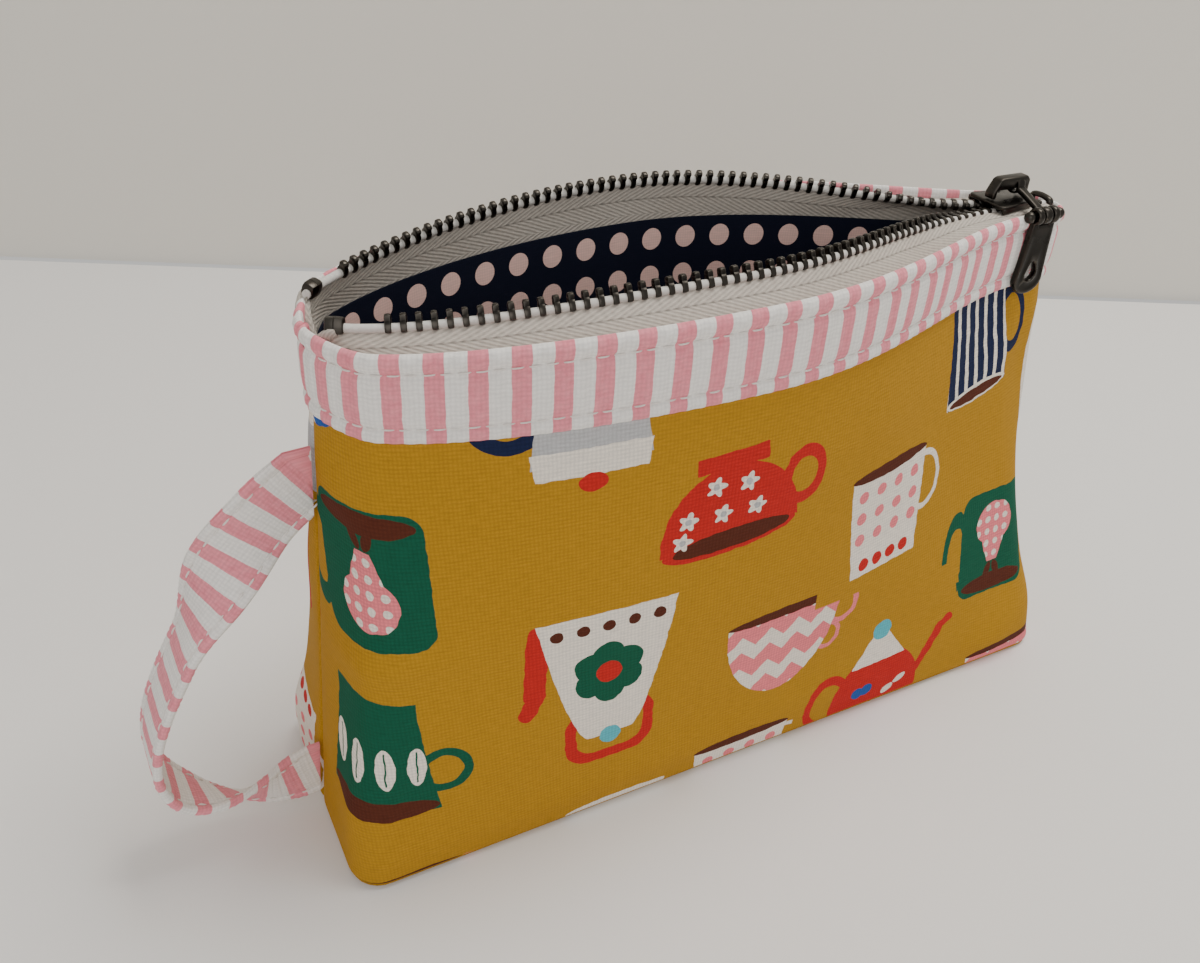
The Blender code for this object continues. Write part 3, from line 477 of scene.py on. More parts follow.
class Drawing:
    """Draws one printed motif, in millimetres round its own centre."""

    def __init__(self, p, spot, ground):
        self.p = p
        self.spot = spot
        self.ink = ground

    def paint(self, mask, colour):
        self.ink = self.p.mix(mask, self.ink, colour)

    def oval(self, colour, *shape):
        self.paint(self.p.ellipse(self.spot, *shape), colour)

    def hoop(self, colour, *shape):
        self.paint(self.p.hoop(self.spot, *shape), colour)

    def block(self, colour, *shape):
        self.paint(self.p.block(self.spot, *shape), colour)

    def cup(self, colour, *shape):
        self.paint(self.p.cup(self.spot, *shape), colour)

    def green_mug(self):
        """Mug with a spotted pear on it."""
        p, spot = self.p, self.spot
        self.hoop(GREEN, -16.2, 0.0, 9.0, 21.0, 2.1)
        self.block(GREEN, 0.0, 0.0, 27.5, 31.5, 0.0, 4.5)
        self.oval(BROWN, 0.0, 12.6, 24.6, 5.2)
        pear = p.either(p.ellipse(spot, 0.0, -5.5, 14.5, 13.0), p.cup(spot, 0.0, 0.8, 4.0, 12.4, 11.0))
        self.paint(pear, PINK)
        self.paint(p.both(pear, p.dots(spot, 3.6, 3.6, 1.0, 0.9, 0.4)), CREAM)
        leaves = p.either(p.ellipse(spot, -1.8, 9.0, 2.4, 5.2, 25.0),
                          p.ellipse(spot, 1.8, 9.0, 2.4, 5.2, -25.0))
        self.paint(leaves, BROWN)

    def leaf_mug(self):
        """Tapered green mug with a row of white leaves."""
        self.hoop(GREEN, -16.2, 4.2, 11.0, 10.2, 2.1)
        self.cup(GREEN, 0.0, 0.0, 30.6, 21.4, 30.6, 1.4)
        self.oval(BROWN, 0.0, 13.9, 29.6, 5.6)
        for k in range(4):
            leaf = 6.8 * (k - 1.5)
            self.oval(CREAM, leaf, 2.0, 4.3, 10.7)
            self.block(GREEN, leaf, 2.0, 0.4, 8.8, 0.0, 0.2)

    def coffee_pot(self):
        """White pot with a green flower, a red spout and a red loop."""
        p, spot = self.p, self.spot
        loop = p.without(p.block(spot, 0.0, -18.0, 23.0, 19.0, 0.0, 6.5),
                         p.block(spot, 0.0, -17.6, 17.4, 13.8, 0.0, 5.0))
        self.paint(loop, RED)
        spout = p.either(p.block(spot, -17.0, 8.0, 5.2, 22.0, -6.0, 2.5),
                         p.block(spot, -18.8, -3.4, 4.0, 9.0, -28.0, 1.9))
        self.paint(spout, RED)
        self.cup(CREAM, 0.0, 0.0, 33.0, 11.0, 38.0, 0.62)
        beans = p.both(p.dots(spot, 6.0, 60.0, 1.5, 0.0, 15.0), p.block(spot, 0.0, 15.0, 27.0, 6.0))
        self.paint(beans, BROWN)
        for k in range(6):
            a = math.radians(60.0 * k + 30.0)
            self.oval(GREEN, 5.2 * math.cos(a), 1.0 + 5.2 * math.sin(a), 7.6, 7.6)
        self.oval(RED, 0.0, 1.0, 6.2, 6.2)
        self.oval(AQUA, 0.0, -19.6, 5.4, 5.6)

    def daisy_cup(self):
        """Round red cup with daisies and a dark rim."""
        p, spot = self.p, self.spot
        self.hoop(RED, 18.5, 2.5, 10.0, 12.0, 2.6)
        self.paint(p.both(p.ellipse(spot, 0.0, -7.5, 35.0, 38.0), p.block(spot, 0.0, 3.0, 40.0, 21.0)), RED)
        self.block(RED, 0.0, 12.6, 17.0, 4.0)
        self.oval(RED, 0.0, -8.0, 34.0, 7.0)
        self.oval(BROWN, 0.4, -7.8, 30.0, 5.2)
        for dx, dy in ((-10.5, 0.0), (-4.0, 6.8), (3.8, 6.0), (-2.2, -0.6), (6.2, -1.0), (-12.0, -5.0)):
            self.paint(p.flower(spot, dx, dy, 2.5, 5.0), CREAM)
            self.oval(GREY_PRINT, dx, dy, 1.6, 1.6)

    def dotted_mug(self):
        """White mug with pink dots, red ones in the bottom row."""
        p, spot = self.p, self.spot
        self.hoop(CREAM, 14.5, 4.5, 12.0, 15.0, 1.4)
        self.cup(CREAM, 0.0, 0.0, 28.5, 24.0, 29.0)
        upper = p.both(p.block(spot, 0.0, 2.9, 25.0, 18.0), p.dots(spot, 6.5, 6.1, 1.65, 3.25, 2.9))
        self.paint(upper, PINK)
        lower = p.both(p.block(spot, 0.0, -11.4, 20.0, 4.6), p.dots(spot, 5.0, 60.0, 1.8, 2.5, -11.4))
        self.paint(lower, RED)
        self.oval(BROWN, 0.0, 14.4, 29.0, 3.4)

    def zigzag_cup(self):
        """Round pink cup with white zigzag lines."""
        p, spot = self.p, self.spot
        self.hoop(PINK, 18.5, 7.0, 9.0, 10.0, 1.6)
        self.hoop(PINK, 15.0, -2.0, 7.0, 8.0, 1.3)
        bowl = p.both(p.ellipse(spot, 0.0, 11.0, 34.0, 50.0), p.block(spot, 0.0, -1.5, 60.0, 28.0))
        self.paint(bowl, PINK)
        px, py = p.split(spot)
        tooth = p.math("PINGPONG", px, 4.2)
        level = p.math("WRAP", p.math("SUBTRACT", py, p.math("MULTIPLY", tooth, 0.95)), 10.8, 0.0)
        self.paint(p.both(bowl, p.math("LESS_THAN", level, 5.0)), CREAM)
        self.oval(BROWN, 0.0, 12.8, 34.0, 3.0)

    def teapot(self):
        """Red pot with a white lid and an aqua knob."""
        p, spot = self.p, self.spot
        self.hoop(RED, -17.0, -5.5, 13.0, 17.0, 2.4)
        self.block(RED, 18.0, 0.0, 3.0, 18.0, -35.0, 1.4)
        self.block(RED, 24.6, 8.0, 2.6, 6.0, -65.0, 1.2)
        self.oval(RED, 0.0, -9.0, 31.0, 33.0)
        self.cup(CREAM, 0.0, 8.5, 5.0, 19.0, 10.0)
        self.oval(AQUA, 0.0, 14.4, 6.6, 6.6)
        heart = p.either(p.ellipse(spot, -6.0, -6.5, 4.0, 4.6, 20.0),
                         p.ellipse(spot, -3.2, -6.0, 4.0, 4.6, -20.0))
        self.paint(heart, BLUE)
        petals = p.either(p.ellipse(spot, 5.0, -9.0, 4.6, 2.4, 30.0),
                          p.ellipse(spot, 9.0, -6.4, 4.6, 2.4, 30.0))
        self.paint(petals, CREAM)

    def striped_mug(self):
        """Mug with upright navy and white stripes."""
        p, spot = self.p, self.spot
        self.hoop(INK_NAVY, -15.5, 1.0, 10.0, 15.0, 1.9)
        side = p.cup(spot, 0.0, 0.0, 27.0, 24.0, 33.0)
        px = p.split(spot)[0]
        self.paint(side, INK_NAVY)
        self.paint(p.both(side, p.math("LESS_THAN", p.math("WRAP", px, 4.4, 0.0), 1.5)), CREAM)
        self.oval(CREAM, 0.0, 15.6, 27.0, 4.4)
        self.oval(BROWN, 0.0, 15.8, 24.5, 2.9)

    def grey_jug(self):
        """Grey jug on a cream foot, with a navy handle and a red knob."""
        self.hoop(INK_NAVY, -16.0, 6.0, 14.0, 13.0, 3.0)
        self.cup(GREY_PRINT, 0.0, 5.0, 18.0, 25.0, 22.0)
        self.cup(CREAM, 0.0, -5.8, 25.0, 23.0, 6.0)
        self.oval(RED, 0.0, -10.4, 6.0, 4.4)

    def blue_bowl(self):
        """Blue bowl with a white rim."""
        p, spot = self.p, self.spot
        bowl = p.both(p.ellipse(spot, 0.0, 8.0, 32.0, 36.0), p.block(spot, 0.0, -1.0, 60.0, 18.0))
        self.paint(bowl, BLUE)
        self.paint(p.both(bowl, p.dots(spot, 5.2, 5.2, 1.1)), CREAM)
        self.oval(CREAM, 0.0, 8.0, 32.0, 3.6)


# Half width and half height of the cloth that each motif's drawing covers (mm).
MOTIF_REACH = {
    "green_mug": (23.0, 18.0), "leaf_mug": (25.0, 19.5), "coffee_pot": (23.0, 30.0),
    "daisy_cup": (25.5, 16.0), "dotted_mug": (22.5, 19.5), "zigzag_cup": (25.0, 16.5),
    "teapot": (28.5, 26.5), "striped_mug": (22.5, 19.5), "grey_jug": (24.0, 16.5), "blue_bowl": (17.5, 12.0),
}

# Motif, distance along the wall from its middle, height, and turn (mm and degrees).
FRONT_PRINT = (
    ("green_mug", -93.5, 80.5, 0.0), ("leaf_mug", -98.0, 37.0, 176.0), ("daisy_cup", -14.5, 85.0, 4.0),
    ("coffee_pot", -42.5, 47.0, 1.0), ("dotted_mug", 36.5, 65.5, 2.0), ("zigzag_cup", 5.5, 36.5, 1.0),
    ("teapot", 41.0, 13.5, 0.0), ("green_mug", 84.0, 41.0, 178.0, "mirrored"),
    ("striped_mug", 71.0, 103.0, 184.0),
    ("grey_jug", -46.5, 109.5, 1.0), ("dotted_mug", -3.0, -6.0, 2.0), ("zigzag_cup", 94.0, -7.0, 6.0),
    ("zigzag_cup", -97.0, -12.0, 3.0), ("blue_bowl", 108.0, 88.0, 90.0), ("blue_bowl", -105.0, 119.0, 0.0),
    ("grey_jug", -128.0, 62.0, 90.0), ("striped_mug", 121.0, 60.0, 10.0), ("blue_bowl", -38.0, -6.0, 0.0),
)
BACK_PRINT = (
    ("coffee_pot", -88.0, 62.0, 2.0), ("dotted_mug", -46.0, 84.0, -3.0), ("zigzag_cup", -48.0, 44.0, 178.0),
    ("green_mug", 4.0, 30.0, 3.0), ("striped_mug", 0.0, 78.0, 182.0), ("teapot", 54.0, 66.0, -2.0),
    ("daisy_cup", 50.0, 22.0, 184.0), ("leaf_mug", 100.0, 34.0, 176.0), ("blue_bowl", -52.0, 12.0, 2.0),
    ("dotted_mug", -110.0, 12.0, 180.0), ("blue_bowl", 96.0, 84.0, 180.0), ("zigzag_cup", 40.0, 108.0, 3.0),
    ("grey_jug", -106.0, 104.0, 180.0), ("blue_bowl", 20.0, -6.0, 0.0),
)


def canvas_material(motif=None):
    """Mustard cotton canvas, plain or printed with one motif."""
    p = Paint("canvas_" + (motif or "plain"), 0.82)
    cloth = p.uv()
    ground = p.mix(p.noise(cloth, 30.0, 2.0), GROUND_DARK, MUSTARD)
    if motif:
        own = p.node("UVMap", uv_map="motif").outputs[0]
        wobble = p.noise(own, 0.33, 1.0)
        edge = p.join(p.remap(wobble, -0.45, 0.45), p.remap(wobble, 0.40, -0.40))
        drawing = Drawing(p, p.vector("ADD", own, edge), ground)
        getattr(drawing, motif)()
        ground = drawing.ink
    thread = p.weave(cloth, CANVAS_PITCH)
    # Painted shade and highlight of the weave: the colour is darker between the threads and lighter on their
    # crowns, and it also varies with the uneven yarn.
    weave_shaded = p.shade(ground, p.remap(thread, 0.66, 1.22))
    return p.finish(weave_shaded, thread, 0.55, 0.00018)


def lay_print(obj, placements, mats):
    """Give each motif's part of a wall its material and its own coordinates."""
    mesh = obj.data
    kinds = sorted(MOTIF_REACH)
    for kind in kinds:
        mesh.materials.append(mats[kind])
    cloth = np.zeros(2 * len(mesh.loops), np.float32)
    mesh.uv_layers["cloth"].data.foreach_get("uv", cloth)
    cloth = 1000.0 * cloth.reshape(-1, 2)
    own = np.zeros_like(cloth)
    starts = np.zeros(len(mesh.polygons), np.int32)
    mesh.polygons.foreach_get("loop_start", starts)
    middle = 0.25 * sum(cloth[starts + k] for k in range(4))
    index = np.zeros(len(mesh.polygons), np.int32)
    for kind, x, y, turn, *mirrored in placements:
        a = math.radians(turn)
        spin = np.array(((math.cos(a), -math.sin(a)), (math.sin(a), math.cos(a))))
        if mirrored:
            spin = spin @ np.array(((-1.0, 0.0), (0.0, 1.0)))
        local = (middle - (x, y)) @ spin
        wide, high = MOTIF_REACH[kind]
        inside = (np.abs(local[:, 0]) < wide) & (np.abs(local[:, 1]) < high) & (index == 0)
        index[inside] = 1 + kinds.index(kind)
        for k in range(4):
            own[starts[inside] + k] = (cloth[starts[inside] + k] - (x, y)) @ spin
    layer = mesh.uv_layers.new(name="motif")
    layer.data.foreach_set("uv", own.astype(np.float32).ravel())
    mesh.polygons.foreach_set("material_index", index)
    return obj


def stripe_material(name, period, share, start, sheen=0.1):
    """Woven cotton with pink and white stripes along U."""
    p = Paint(name, 0.85, sheen=sheen)
    cloth = p.uv()
    wander = p.noise(cloth, 260.0, 2.0)
    x = p.split(cloth)[0]
    shifted = p.math("ADD", x, p.remap(wander, -0.00022 - start, 0.00022 - start))
    place = p.math("WRAP", shifted, period, 0.0)
    pink = p.math("LESS_THAN", place, period * share)
    faded = p.mix(p.noise(cloth, 700.0, 2.0), (0.700, 0.190, 0.240), (0.860, 0.330, 0.375))
    colour = p.mix(pink, STRIPE_WHITE, faded)
    thread = p.weave(cloth, 0.0009)
    # Painted shade and highlight of the weave: the stripes are darker between the threads and lighter on
    # their crowns.
    return p.finish(p.shade(colour, p.remap(thread, 0.76, 1.14)), thread, 0.5, 0.0002)


def lining_material():
    """Near-black navy cotton with pale pink dots."""
    p = Paint("dotted_lining", 0.85)
    cloth = p.uv()
    thread = p.weave(cloth, 0.0006)
    spots = p.dots(p.vector("SCALE", cloth, None, None, 1000.0), 9.0, 9.0, 2.55)
    colour = p.mix(spots, (0.0055, 0.0075, 0.020), (0.840, 0.560, 0.500))
    # Painted shade and highlight of the weave: the lining is darker between the threads and lighter on their
    # crowns.
    return p.finish(p.shade(colour, p.remap(thread, 0.8, 1.15)), thread, 0.35, 0.00012)


def tape_material():
    """Grey-beige herringbone twill: slanting ribs that turn about in stripes."""
    p = Paint("herringbone_tape", 0.75, sheen=0.1)
    cloth = p.uv()
    x, y = p.split(cloth)
    stripe = 0.0037
    zig = p.math("PINGPONG", y, stripe)
    slant = p.math("MULTIPLY_ADD", zig, 2.1, x)
    wander = p.noise(cloth, 300.0, 2.0)
    phase = p.math("ADD", slant, p.remap(wander, -0.00025, 0.00025))
    rib = p.math("SINE", p.math("MULTIPLY", phase, 2.0 * math.pi / 0.0019))
    strand = p.math("SINE", p.math("MULTIPLY", y, 2.0 * math.pi / 0.0007))
    crossing = p.math("MULTIPLY", rib, p.remap(strand, 0.75, 1.0))
    turn = p.math("LESS_THAN", p.math("ABSOLUTE", p.math("SUBTRACT", zig, stripe)), 0.0002)
    rough = p.noise(cloth, 1100.0, 3.0)
    height = p.math("SUBTRACT", p.math("MULTIPLY_ADD", crossing, 0.45, p.math("MULTIPLY", rough, 0.9)),
                    p.math("MULTIPLY", turn, 0.7))
    colour = p.mix(p.noise(cloth, 60.0), (0.470, 0.425, 0.370), (0.560, 0.515, 0.455))
    # Painted shade and highlight: the colour is darker in the ribs' grooves and along the lines where the
    # ribs turn, lighter on the rib crests, and it also varies with fine random noise.
    return p.finish(p.shade(colour, p.remap(height, 0.74, 1.14)), height, 0.6, 0.00022)


def thread_material(name, colour, turns=2600.0):
    """Twisted sewing thread or cord."""
    p = Paint(name, 0.7, sheen=0.1)
    here = p.position()
    x, y = p.split(here)
    fibre = p.noise(here, 1500.0, 3.0)
    twist = p.math("SINE", p.math("MULTIPLY", p.math("ADD", x, y), turns))
    height = p.math("MULTIPLY_ADD", twist, 0.3, fibre)
    shaded = p.shade(p.mix(fibre, colour, colour), p.remap(fibre, 0.8, 1.15))
    return p.finish(shaded, height, 0.4, 0.0001)


def fleece_material():
    """White felted interfacing."""
    p = Paint("white_fleece", 0.95, sheen=0.3)
    here = p.position()
    tuft = p.noise(here, 1200.0, 5.0, 0.7)
    colour = p.shade(p.mix(tuft, (0.66, 0.65, 0.62), (0.78, 0.77, 0.74)), p.remap(tuft, 0.9, 1.08))
    return p.finish(colour, tuft, 0.6, 0.0003)


def metal_material(name, dark, light, roughness, wear):
    """Antiqued metal: darker in its hollows, rubbed bright on its edges."""
    p = Paint(name, roughness, 1.0)
    here = p.position()
    cloud = p.noise(here, 260.0, 4.0)
    grain = p.noise(here, 2200.0, 3.0)
    edge = p.node("NewGeometry").outputs["Pointiness"]
    rub = p.node("MapRange", edge, 0.50, 0.56, 0.0, wear).outputs[0]
    base = p.mix(cloud, dark, light)
    colour = p.mix(rub, base, (0.20, 0.18, 0.155))
    p.put(p.shader.inputs["Roughness"], p.remap(cloud, roughness - 0.08, roughness + 0.14))
    return p.finish(colour, grain, 0.12, 0.00008)


# ------------------------------------------------------------------ pouch cloth
SOFT_FOLDS = (
    # along from the middle, height, turn, half length, half width, height of the fold (mm)
    (-92.0, 60.0, 4.0, 16.0, 4.0, 1.0),
    (-104.0, 22.0, 60.0, 14.0, 6.0, 1.0),
    (-100.0, 98.0, -30.0, 12.0, 5.0, 0.8),
    (-60.0, 30.0, 25.0, 30.0, 12.0, 0.8),
    (-30.0, 62.0, -20.0, 34.0, 14.0, 0.7),
    (20.0, 92.0, 8.0, 40.0, 10.0, 0.6),
    (40.0, 42.0, -28.0, 36.0, 13.0, 0.9),
    (92.0, 12.0, 35.0, 20.0, 9.0, 1.8),
    (98.0, 72.0, 80.0, 16.0, 6.0, 1.0),
    (84.0, 96.0, 20.0, 14.0, 6.0, 0.8),
    (0.0, 12.0, 2.0, 70.0, 8.0, 0.9),
)


def fold(along_mm, height_mm, side):
    """How far the cloth stands out at a point of a wall, in metres."""
    total = 0.25 + 0.12 * np.sin(0.061 * along_mm + 0.9 * side) * np.cos(0.083 * height_mm)
    total = total + 0.10 * np.sin(0.17 * along_mm + 0.11 * height_mm + side)
    for x, z, turn, length, width, high in SOFT_FOLDS:
        a = math.radians(turn)
        dx = along_mm * (1.0 if side < 0 else -0.93) - x
        dz = height_mm - z
        u = dx * math.cos(a) + dz * math.sin(a)
        w = dz * math.cos(a) - dx * math.sin(a)
        total = total + high * np.exp(-(u / length) ** 2 - (w / width) ** 2)
    return 0.001 * total


def seam_dip(share, run, reach, depth):
    """The cloth turns inwards next to the two side seams."""
    near = np.minimum(share, 1.0 - share) * run
    part = np.clip(1.0 - near / reach, 0.0, 1.0)
    return depth * (1.0 - np.sqrt(np.maximum(1.0 - part ** 2, 0.0)))


def cloth_columns(count, ease=0.25):
    """Shares along a wall, closer together towards the side seams."""
    turn = np.linspace(0.0, math.pi, count + 1)
    return (1.0 - ease) * np.linspace(0.0, 1.0, count + 1) + ease * (0.5 - 0.5 * np.cos(turn))


def wall_rings(shares, heights, insets):
    """Rings of points across a wall, one ring for each share.

    heights is a list; insets has a row for each height and is how far in each
    point lies.  Also gives U, the distance from the wall's middle.
    """
    rings = np.zeros((len(shares), len(heights), 3))
    across = np.zeros((len(shares), len(heights)))
    for k, height in enumerate(heights):
        flat = plan(shares, max(height, 0.0), insets[k])
        rings[:, k, 0] = flat[:, 0]
        rings[:, k, 1] = np.minimum(flat[:, 1], -0.5 * LAYER_GAP)
        rings[:, k, 2] = height + rise(flat[:, 0], height)
        across[:, k] = (shares - 0.5) * wall_run(height)
    return rings, across


def build_outer(side, word, mat, prints):
    """Printed canvas wall with soft folds, rolled under along the base seam."""
    shares = cloth_columns(230)
    roll = 0.0016
    turn = np.linspace(math.pi / 2, 0.0, 7)[:-1]
    bends = [(0.0008 + roll * (1.0 - math.sin(a)), roll * (1.0 - math.cos(a))) for a in turn]
    heights = [h for h, _ in bends] + list(np.linspace(0.0026, BAND_BOTTOM, 84))
    tucks = [t for _, t in bends] + [0.0] * 84
    outer = []
    inner = []
    for height, tuck in zip(heights, tucks):
        run = wall_run(height)
        out = fold((shares - 0.5) * run * 1000.0, height * 1000.0, side)
        fade = min(max(height / 0.008, 0.0), 1.0) * min(max((BAND_BOTTOM - height) / 0.006, 0.0), 1.0)
        ends = np.clip(np.minimum(shares, 1.0 - shares) / 0.02, 0.0, 1.0)
        inset = tuck - out * fade * ends + seam_dip(shares, run, 0.0022, 0.0007)
        outer.append(inset)
        inner.append(inset + OUTER_THICK)
    heights = heights + heights[::-1]
    rings, across = wall_rings(shares, heights, outer + inner[::-1])
    tops = np.array(heights)
    obj = loft_object("outer_" + word, mirror_y(rings, side), across, tops, mat)
    lay_print(obj, FRONT_PRINT if side < 0 else BACK_PRINT, prints)
    return keep_on_pouch(obj, "canvas", "outer_" + word)


def build_inner_wall(side, word, kind, mat, slot, inset, thick, low, high, drift, replaced):
    """Interfacing or lining: a plain layer that hangs a little loose."""
    shares = cloth_columns(150)
    levels = np.linspace(low, high, 56)
    outer = []
    inner = []
    for height in levels:
        run = wall_run(height)
        out = fold((shares - 0.5) * run * 1000.0 + 31.0, height * 1000.0, -side)
        fade = min((height - low) / 0.010, 1.0) * min(max((high - height) / 0.012, 0.0), 1.0)
        ends = np.clip(np.minimum(shares, 1.0 - shares) / 0.05, 0.0, 1.0)
        push = inset + drift * out * fade * ends
        outer.append(push)
        inner.append(push + thick)
    heights = list(levels) + list(levels)[::-1]
    rings, across = wall_rings(shares, heights, outer + inner[::-1])
    obj = loft_object(kind + "_" + word, mirror_y(rings, side), across, np.array(heights), mat)
    return keep_on_pouch(obj, slot, *replaced)


# Cross-section of the striped band: height above its seam, and how far it stands out (mm).
BAND_SECTION = (
    (0.0, 0.05), (0.15, 0.45), (0.6, 0.85), (1.3, 0.95), (2.1, 0.85), (2.7, 0.50), (3.0, 0.30),
    (3.3, 0.45), (4.0, 0.80), (5.2, 0.95), (7.0, 1.00), (9.0, 0.95), (11.0, 0.95), (12.6, 0.85),
    (13.3, 0.60), (13.7, 0.35), (14.0, 0.30), (14.3, 0.40), (14.8, 0.85), (15.6, 1.25), (16.5, 1.30),
    (17.3, 1.05), (17.8, 0.60), (18.0, 0.15), (17.85, -0.25), (17.4, -0.50), (16.0, -0.55),
    (14.0, -0.58), (10.0, -0.58), (6.0, -0.58), (3.0, -0.58), (1.0, -0.55), (0.3, -0.45), (0.0, -0.2),
)
STITCH_ROWS = (0.0030, 0.0140)
STITCH_PITCH = 0.0031
STITCH_LENGTH = 0.0023
STITCH_RADIUS = 0.00023


def band_rings(side, shares, section):
    rings = np.zeros((len(shares), len(section), 3))
    run = wall_run(BAND_TOP)
    for k, (up, out) in enumerate(section):
        height = BAND_BOTTOM + 0.001 * up
        wave = np.sin(shares * run / STITCH_PITCH * 2.0 * math.pi)
        pucker = 1.0 + 0.16 * wave * (1.0 if out > 0.4 else 0.0)
        dip = seam_dip(shares, run, 0.0025, 0.0009)
        flat = plan(shares, height, dip - 0.001 * out * pucker)
        rings[:, k, 0] = flat[:, 0]
        rings[:, k, 1] = np.minimum(flat[:, 1], -0.5 * LAYER_GAP)
        rings[:, k, 2] = height + rise(flat[:, 0], height)
    return mirror_y(rings, side)


def build_band(side, word, mat):
    """Striped band: seam below, folded edge above, topstitched along both."""
    shares = cloth_columns(420, 0.15)
    rings = band_rings(side, shares, BAND_SECTION)
    points = np.array(BAND_SECTION) * 0.001
    v = np.concatenate([[0.0], np.cumsum(np.linalg.norm(np.diff(points, axis=0), axis=1))])
    u = (shares - 0.5) * wall_run(BAND_TOP)
    obj = loft_object("band_" + word, rings, u, v, mat, 60.0)
    return keep_on_pouch(obj, "striped_cotton", "band_" + word)


def stitch(place, way, out):
    """One visible stitch: a short thread, sunk at both ends."""
    side = np.cross(way, out)
    rings = []
    for t, swell, lift in ((-0.5, 0.35, -0.9), (-0.38, 0.85, -0.1), (-0.15, 1.0, 0.25),
                           (0.15, 1.0, 0.25), (0.38, 0.85, -0.1), (0.5, 0.35, -0.9)):
        centre = place + way * t * STITCH_LENGTH + out * lift * STITCH_RADIUS
        ring = []
        for k in range(6):
            a = math.pi * k / 3.0
            ring.append(centre + STITCH_RADIUS * swell * (side * math.cos(a) + out * math.sin(a)))
        rings.append(ring)
    return rings


def band_stitches(side, word, mat):
    run = wall_run(BAND_TOP)
    parts = []
    for row, up in enumerate(STITCH_ROWS):
        height = BAND_BOTTOM + up
        fine = np.linspace(0.0, 1.0, 900)
        lines = []
        for out in (0.00045, 0.00145):
            flat = plan(fine, height, -out)
            z = height + rise(flat[:, 0], height)
            lines.append(np.stack([flat[:, 0], flat[:, 1] * -side, z], 1))
        count = int(run / STITCH_PITCH)
        for k in range(2, count - 2):
            at = (k + 0.5 * row) / count
            here = along(lines[0], np.array([at - 0.004, at, at + 0.004]))
            out = along(lines[1], np.array([at]))[0] - here[1]
            way = here[2] - here[0]
            way = way / np.linalg.norm(way)
            parts.append(stitch(here[1], way, out / np.linalg.norm(out)))
    obj = many_lofts("band_stitches_" + word, parts, mat)
    return keep_on_pouch(obj, "striped_cotton")


def build_panel(name, inset, low, thick, mat, slot, sag, replaced):
    """A flat panel over the whole base, with slight waves."""
    shares = np.linspace(0.0, 1.0, 121)
    front = plan(shares, 0.0, inset)
    across = np.linspace(-1.0, 1.0, 41)
    rings = []
    vs = []
    for level in (1, -1):
        for t in across[::level]:
            y = np.minimum(front[:, 1], -0.0002) * t
            wave = sag * (1.0 - t ** 4) * (0.5 + 0.5 * np.sin(front[:, 0] * 95.0 + 2.0 * t))
            z = low + (0.5 + 0.5 * level) * thick + wave
            rings.append(np.stack([front[:, 0], y, z], 1))
            vs.append(y)
    rings = np.array(rings).transpose(1, 0, 2)
    obj = loft_object(name, rings, front[:, 0], np.array(vs).T, mat)
    return keep_on_pouch(obj, slot, *replaced)


# -------------------------------------------------------------------------- zip
def row_y(x, side=1):
    """Half width between the rows at x; the front row leans further in."""
    left = (x - MOUTH_PEAK_X) / (-TOP_LEFT - MOUTH_PEAK_X)
    right = (x - MOUTH_PEAK_X) / (CHAIN_SPLIT_X - MOUTH_PEAK_X)
    s = np.where(x < MOUTH_PEAK_X, left, right)
    powers = (0.55, 1.6) if side > 0 else (0.80, 2.8)
    sag = ROW_SAG if side > 0 else FRONT_ROW_SAG
    power = np.where(x < MOUTH_PEAK_X, *powers)
    return CHAIN_HALF + (sag - CHAIN_HALF) * np.maximum(1.0 - s * s, 0.0) ** power


def row_z(x):
    lift = np.maximum(1.0 - ((x - MOUTH_PEAK_X) / 0.076) ** 2, 0.0) ** 1.5
    return ROW_HEIGHT + MIDDLE_RISE * lift


def lean(x):
    """Near 0 where a row's teeth stand up, 1 where they lie level."""
    t = np.clip((x - 0.036) / (0.063 - 0.036), 0.0, 1.0)
    return 0.28 + 0.72 * t * t * (3.0 - 2.0 * t)


def row_points(start, count, pitch, side=1):
    """x of points at equal steps along a row, from its closed end leftwards."""
    x = np.linspace(CHAIN_RIGHT, -TOP_LEFT, 4000)
    run = run_length(np.stack([x, row_y(x, side), row_z(x)], 1))
    return np.interp(start + pitch * np.arange(count), run, x)


def row_frame(x, side):
    """Place, way along the row, way out to the tooth tips, and their normal."""
    ends = [np.array([a, side * float(row_y(a, side)), float(row_z(a))]) for a in (x - 0.0002, x + 0.0002)]
    place = np.array([x, side * float(row_y(x, side)), float(row_z(x))])
    way = (ends[1] - ends[0]) / np.linalg.norm(ends[1] - ends[0])
    angle = float(lean(x)) * math.pi / 2
    tip = np.array([0.0, -side * math.sin(angle), math.cos(angle)])
    tip = tip - way * tip.dot(way)
    tip /= np.linalg.norm(tip)
    return place, way, tip, np.cross(way, tip)


# Side view of a tooth: towards its tip, and across (mm), with its legs round the cord.
TOOTH_SIDE = (
    (-0.95, 0.55), (-0.80, 1.00), (-0.30, 1.12), (0.55, 1.12), (0.95, 0.98), (1.25, 0.78),
    (1.75, 0.80), (2.25, 0.84), (2.50, 0.62), (2.62, 0.30),
    (2.62, -0.30), (2.50, -0.62), (2.25, -0.84), (1.75, -0.80), (1.25, -0.78), (0.95, -0.98),
    (0.55, -1.12), (-0.30, -1.12), (-0.80, -1.00), (-0.95, -0.55),
)


def tooth(place, way, tip, up):
    rings = []
    for offset, scale in ((-0.62, 0.80), (-0.52, 0.97), (-0.2, 1.02),
                          (0.2, 1.02), (0.52, 0.97), (0.62, 0.80)):
        ring = []
        for a, b in TOOTH_SIDE:
            ring.append(place + 0.001 * (way * offset + tip * (0.8 + (a - 0.8) * scale) + up * b * scale))
        rings.append(ring)
    return rings


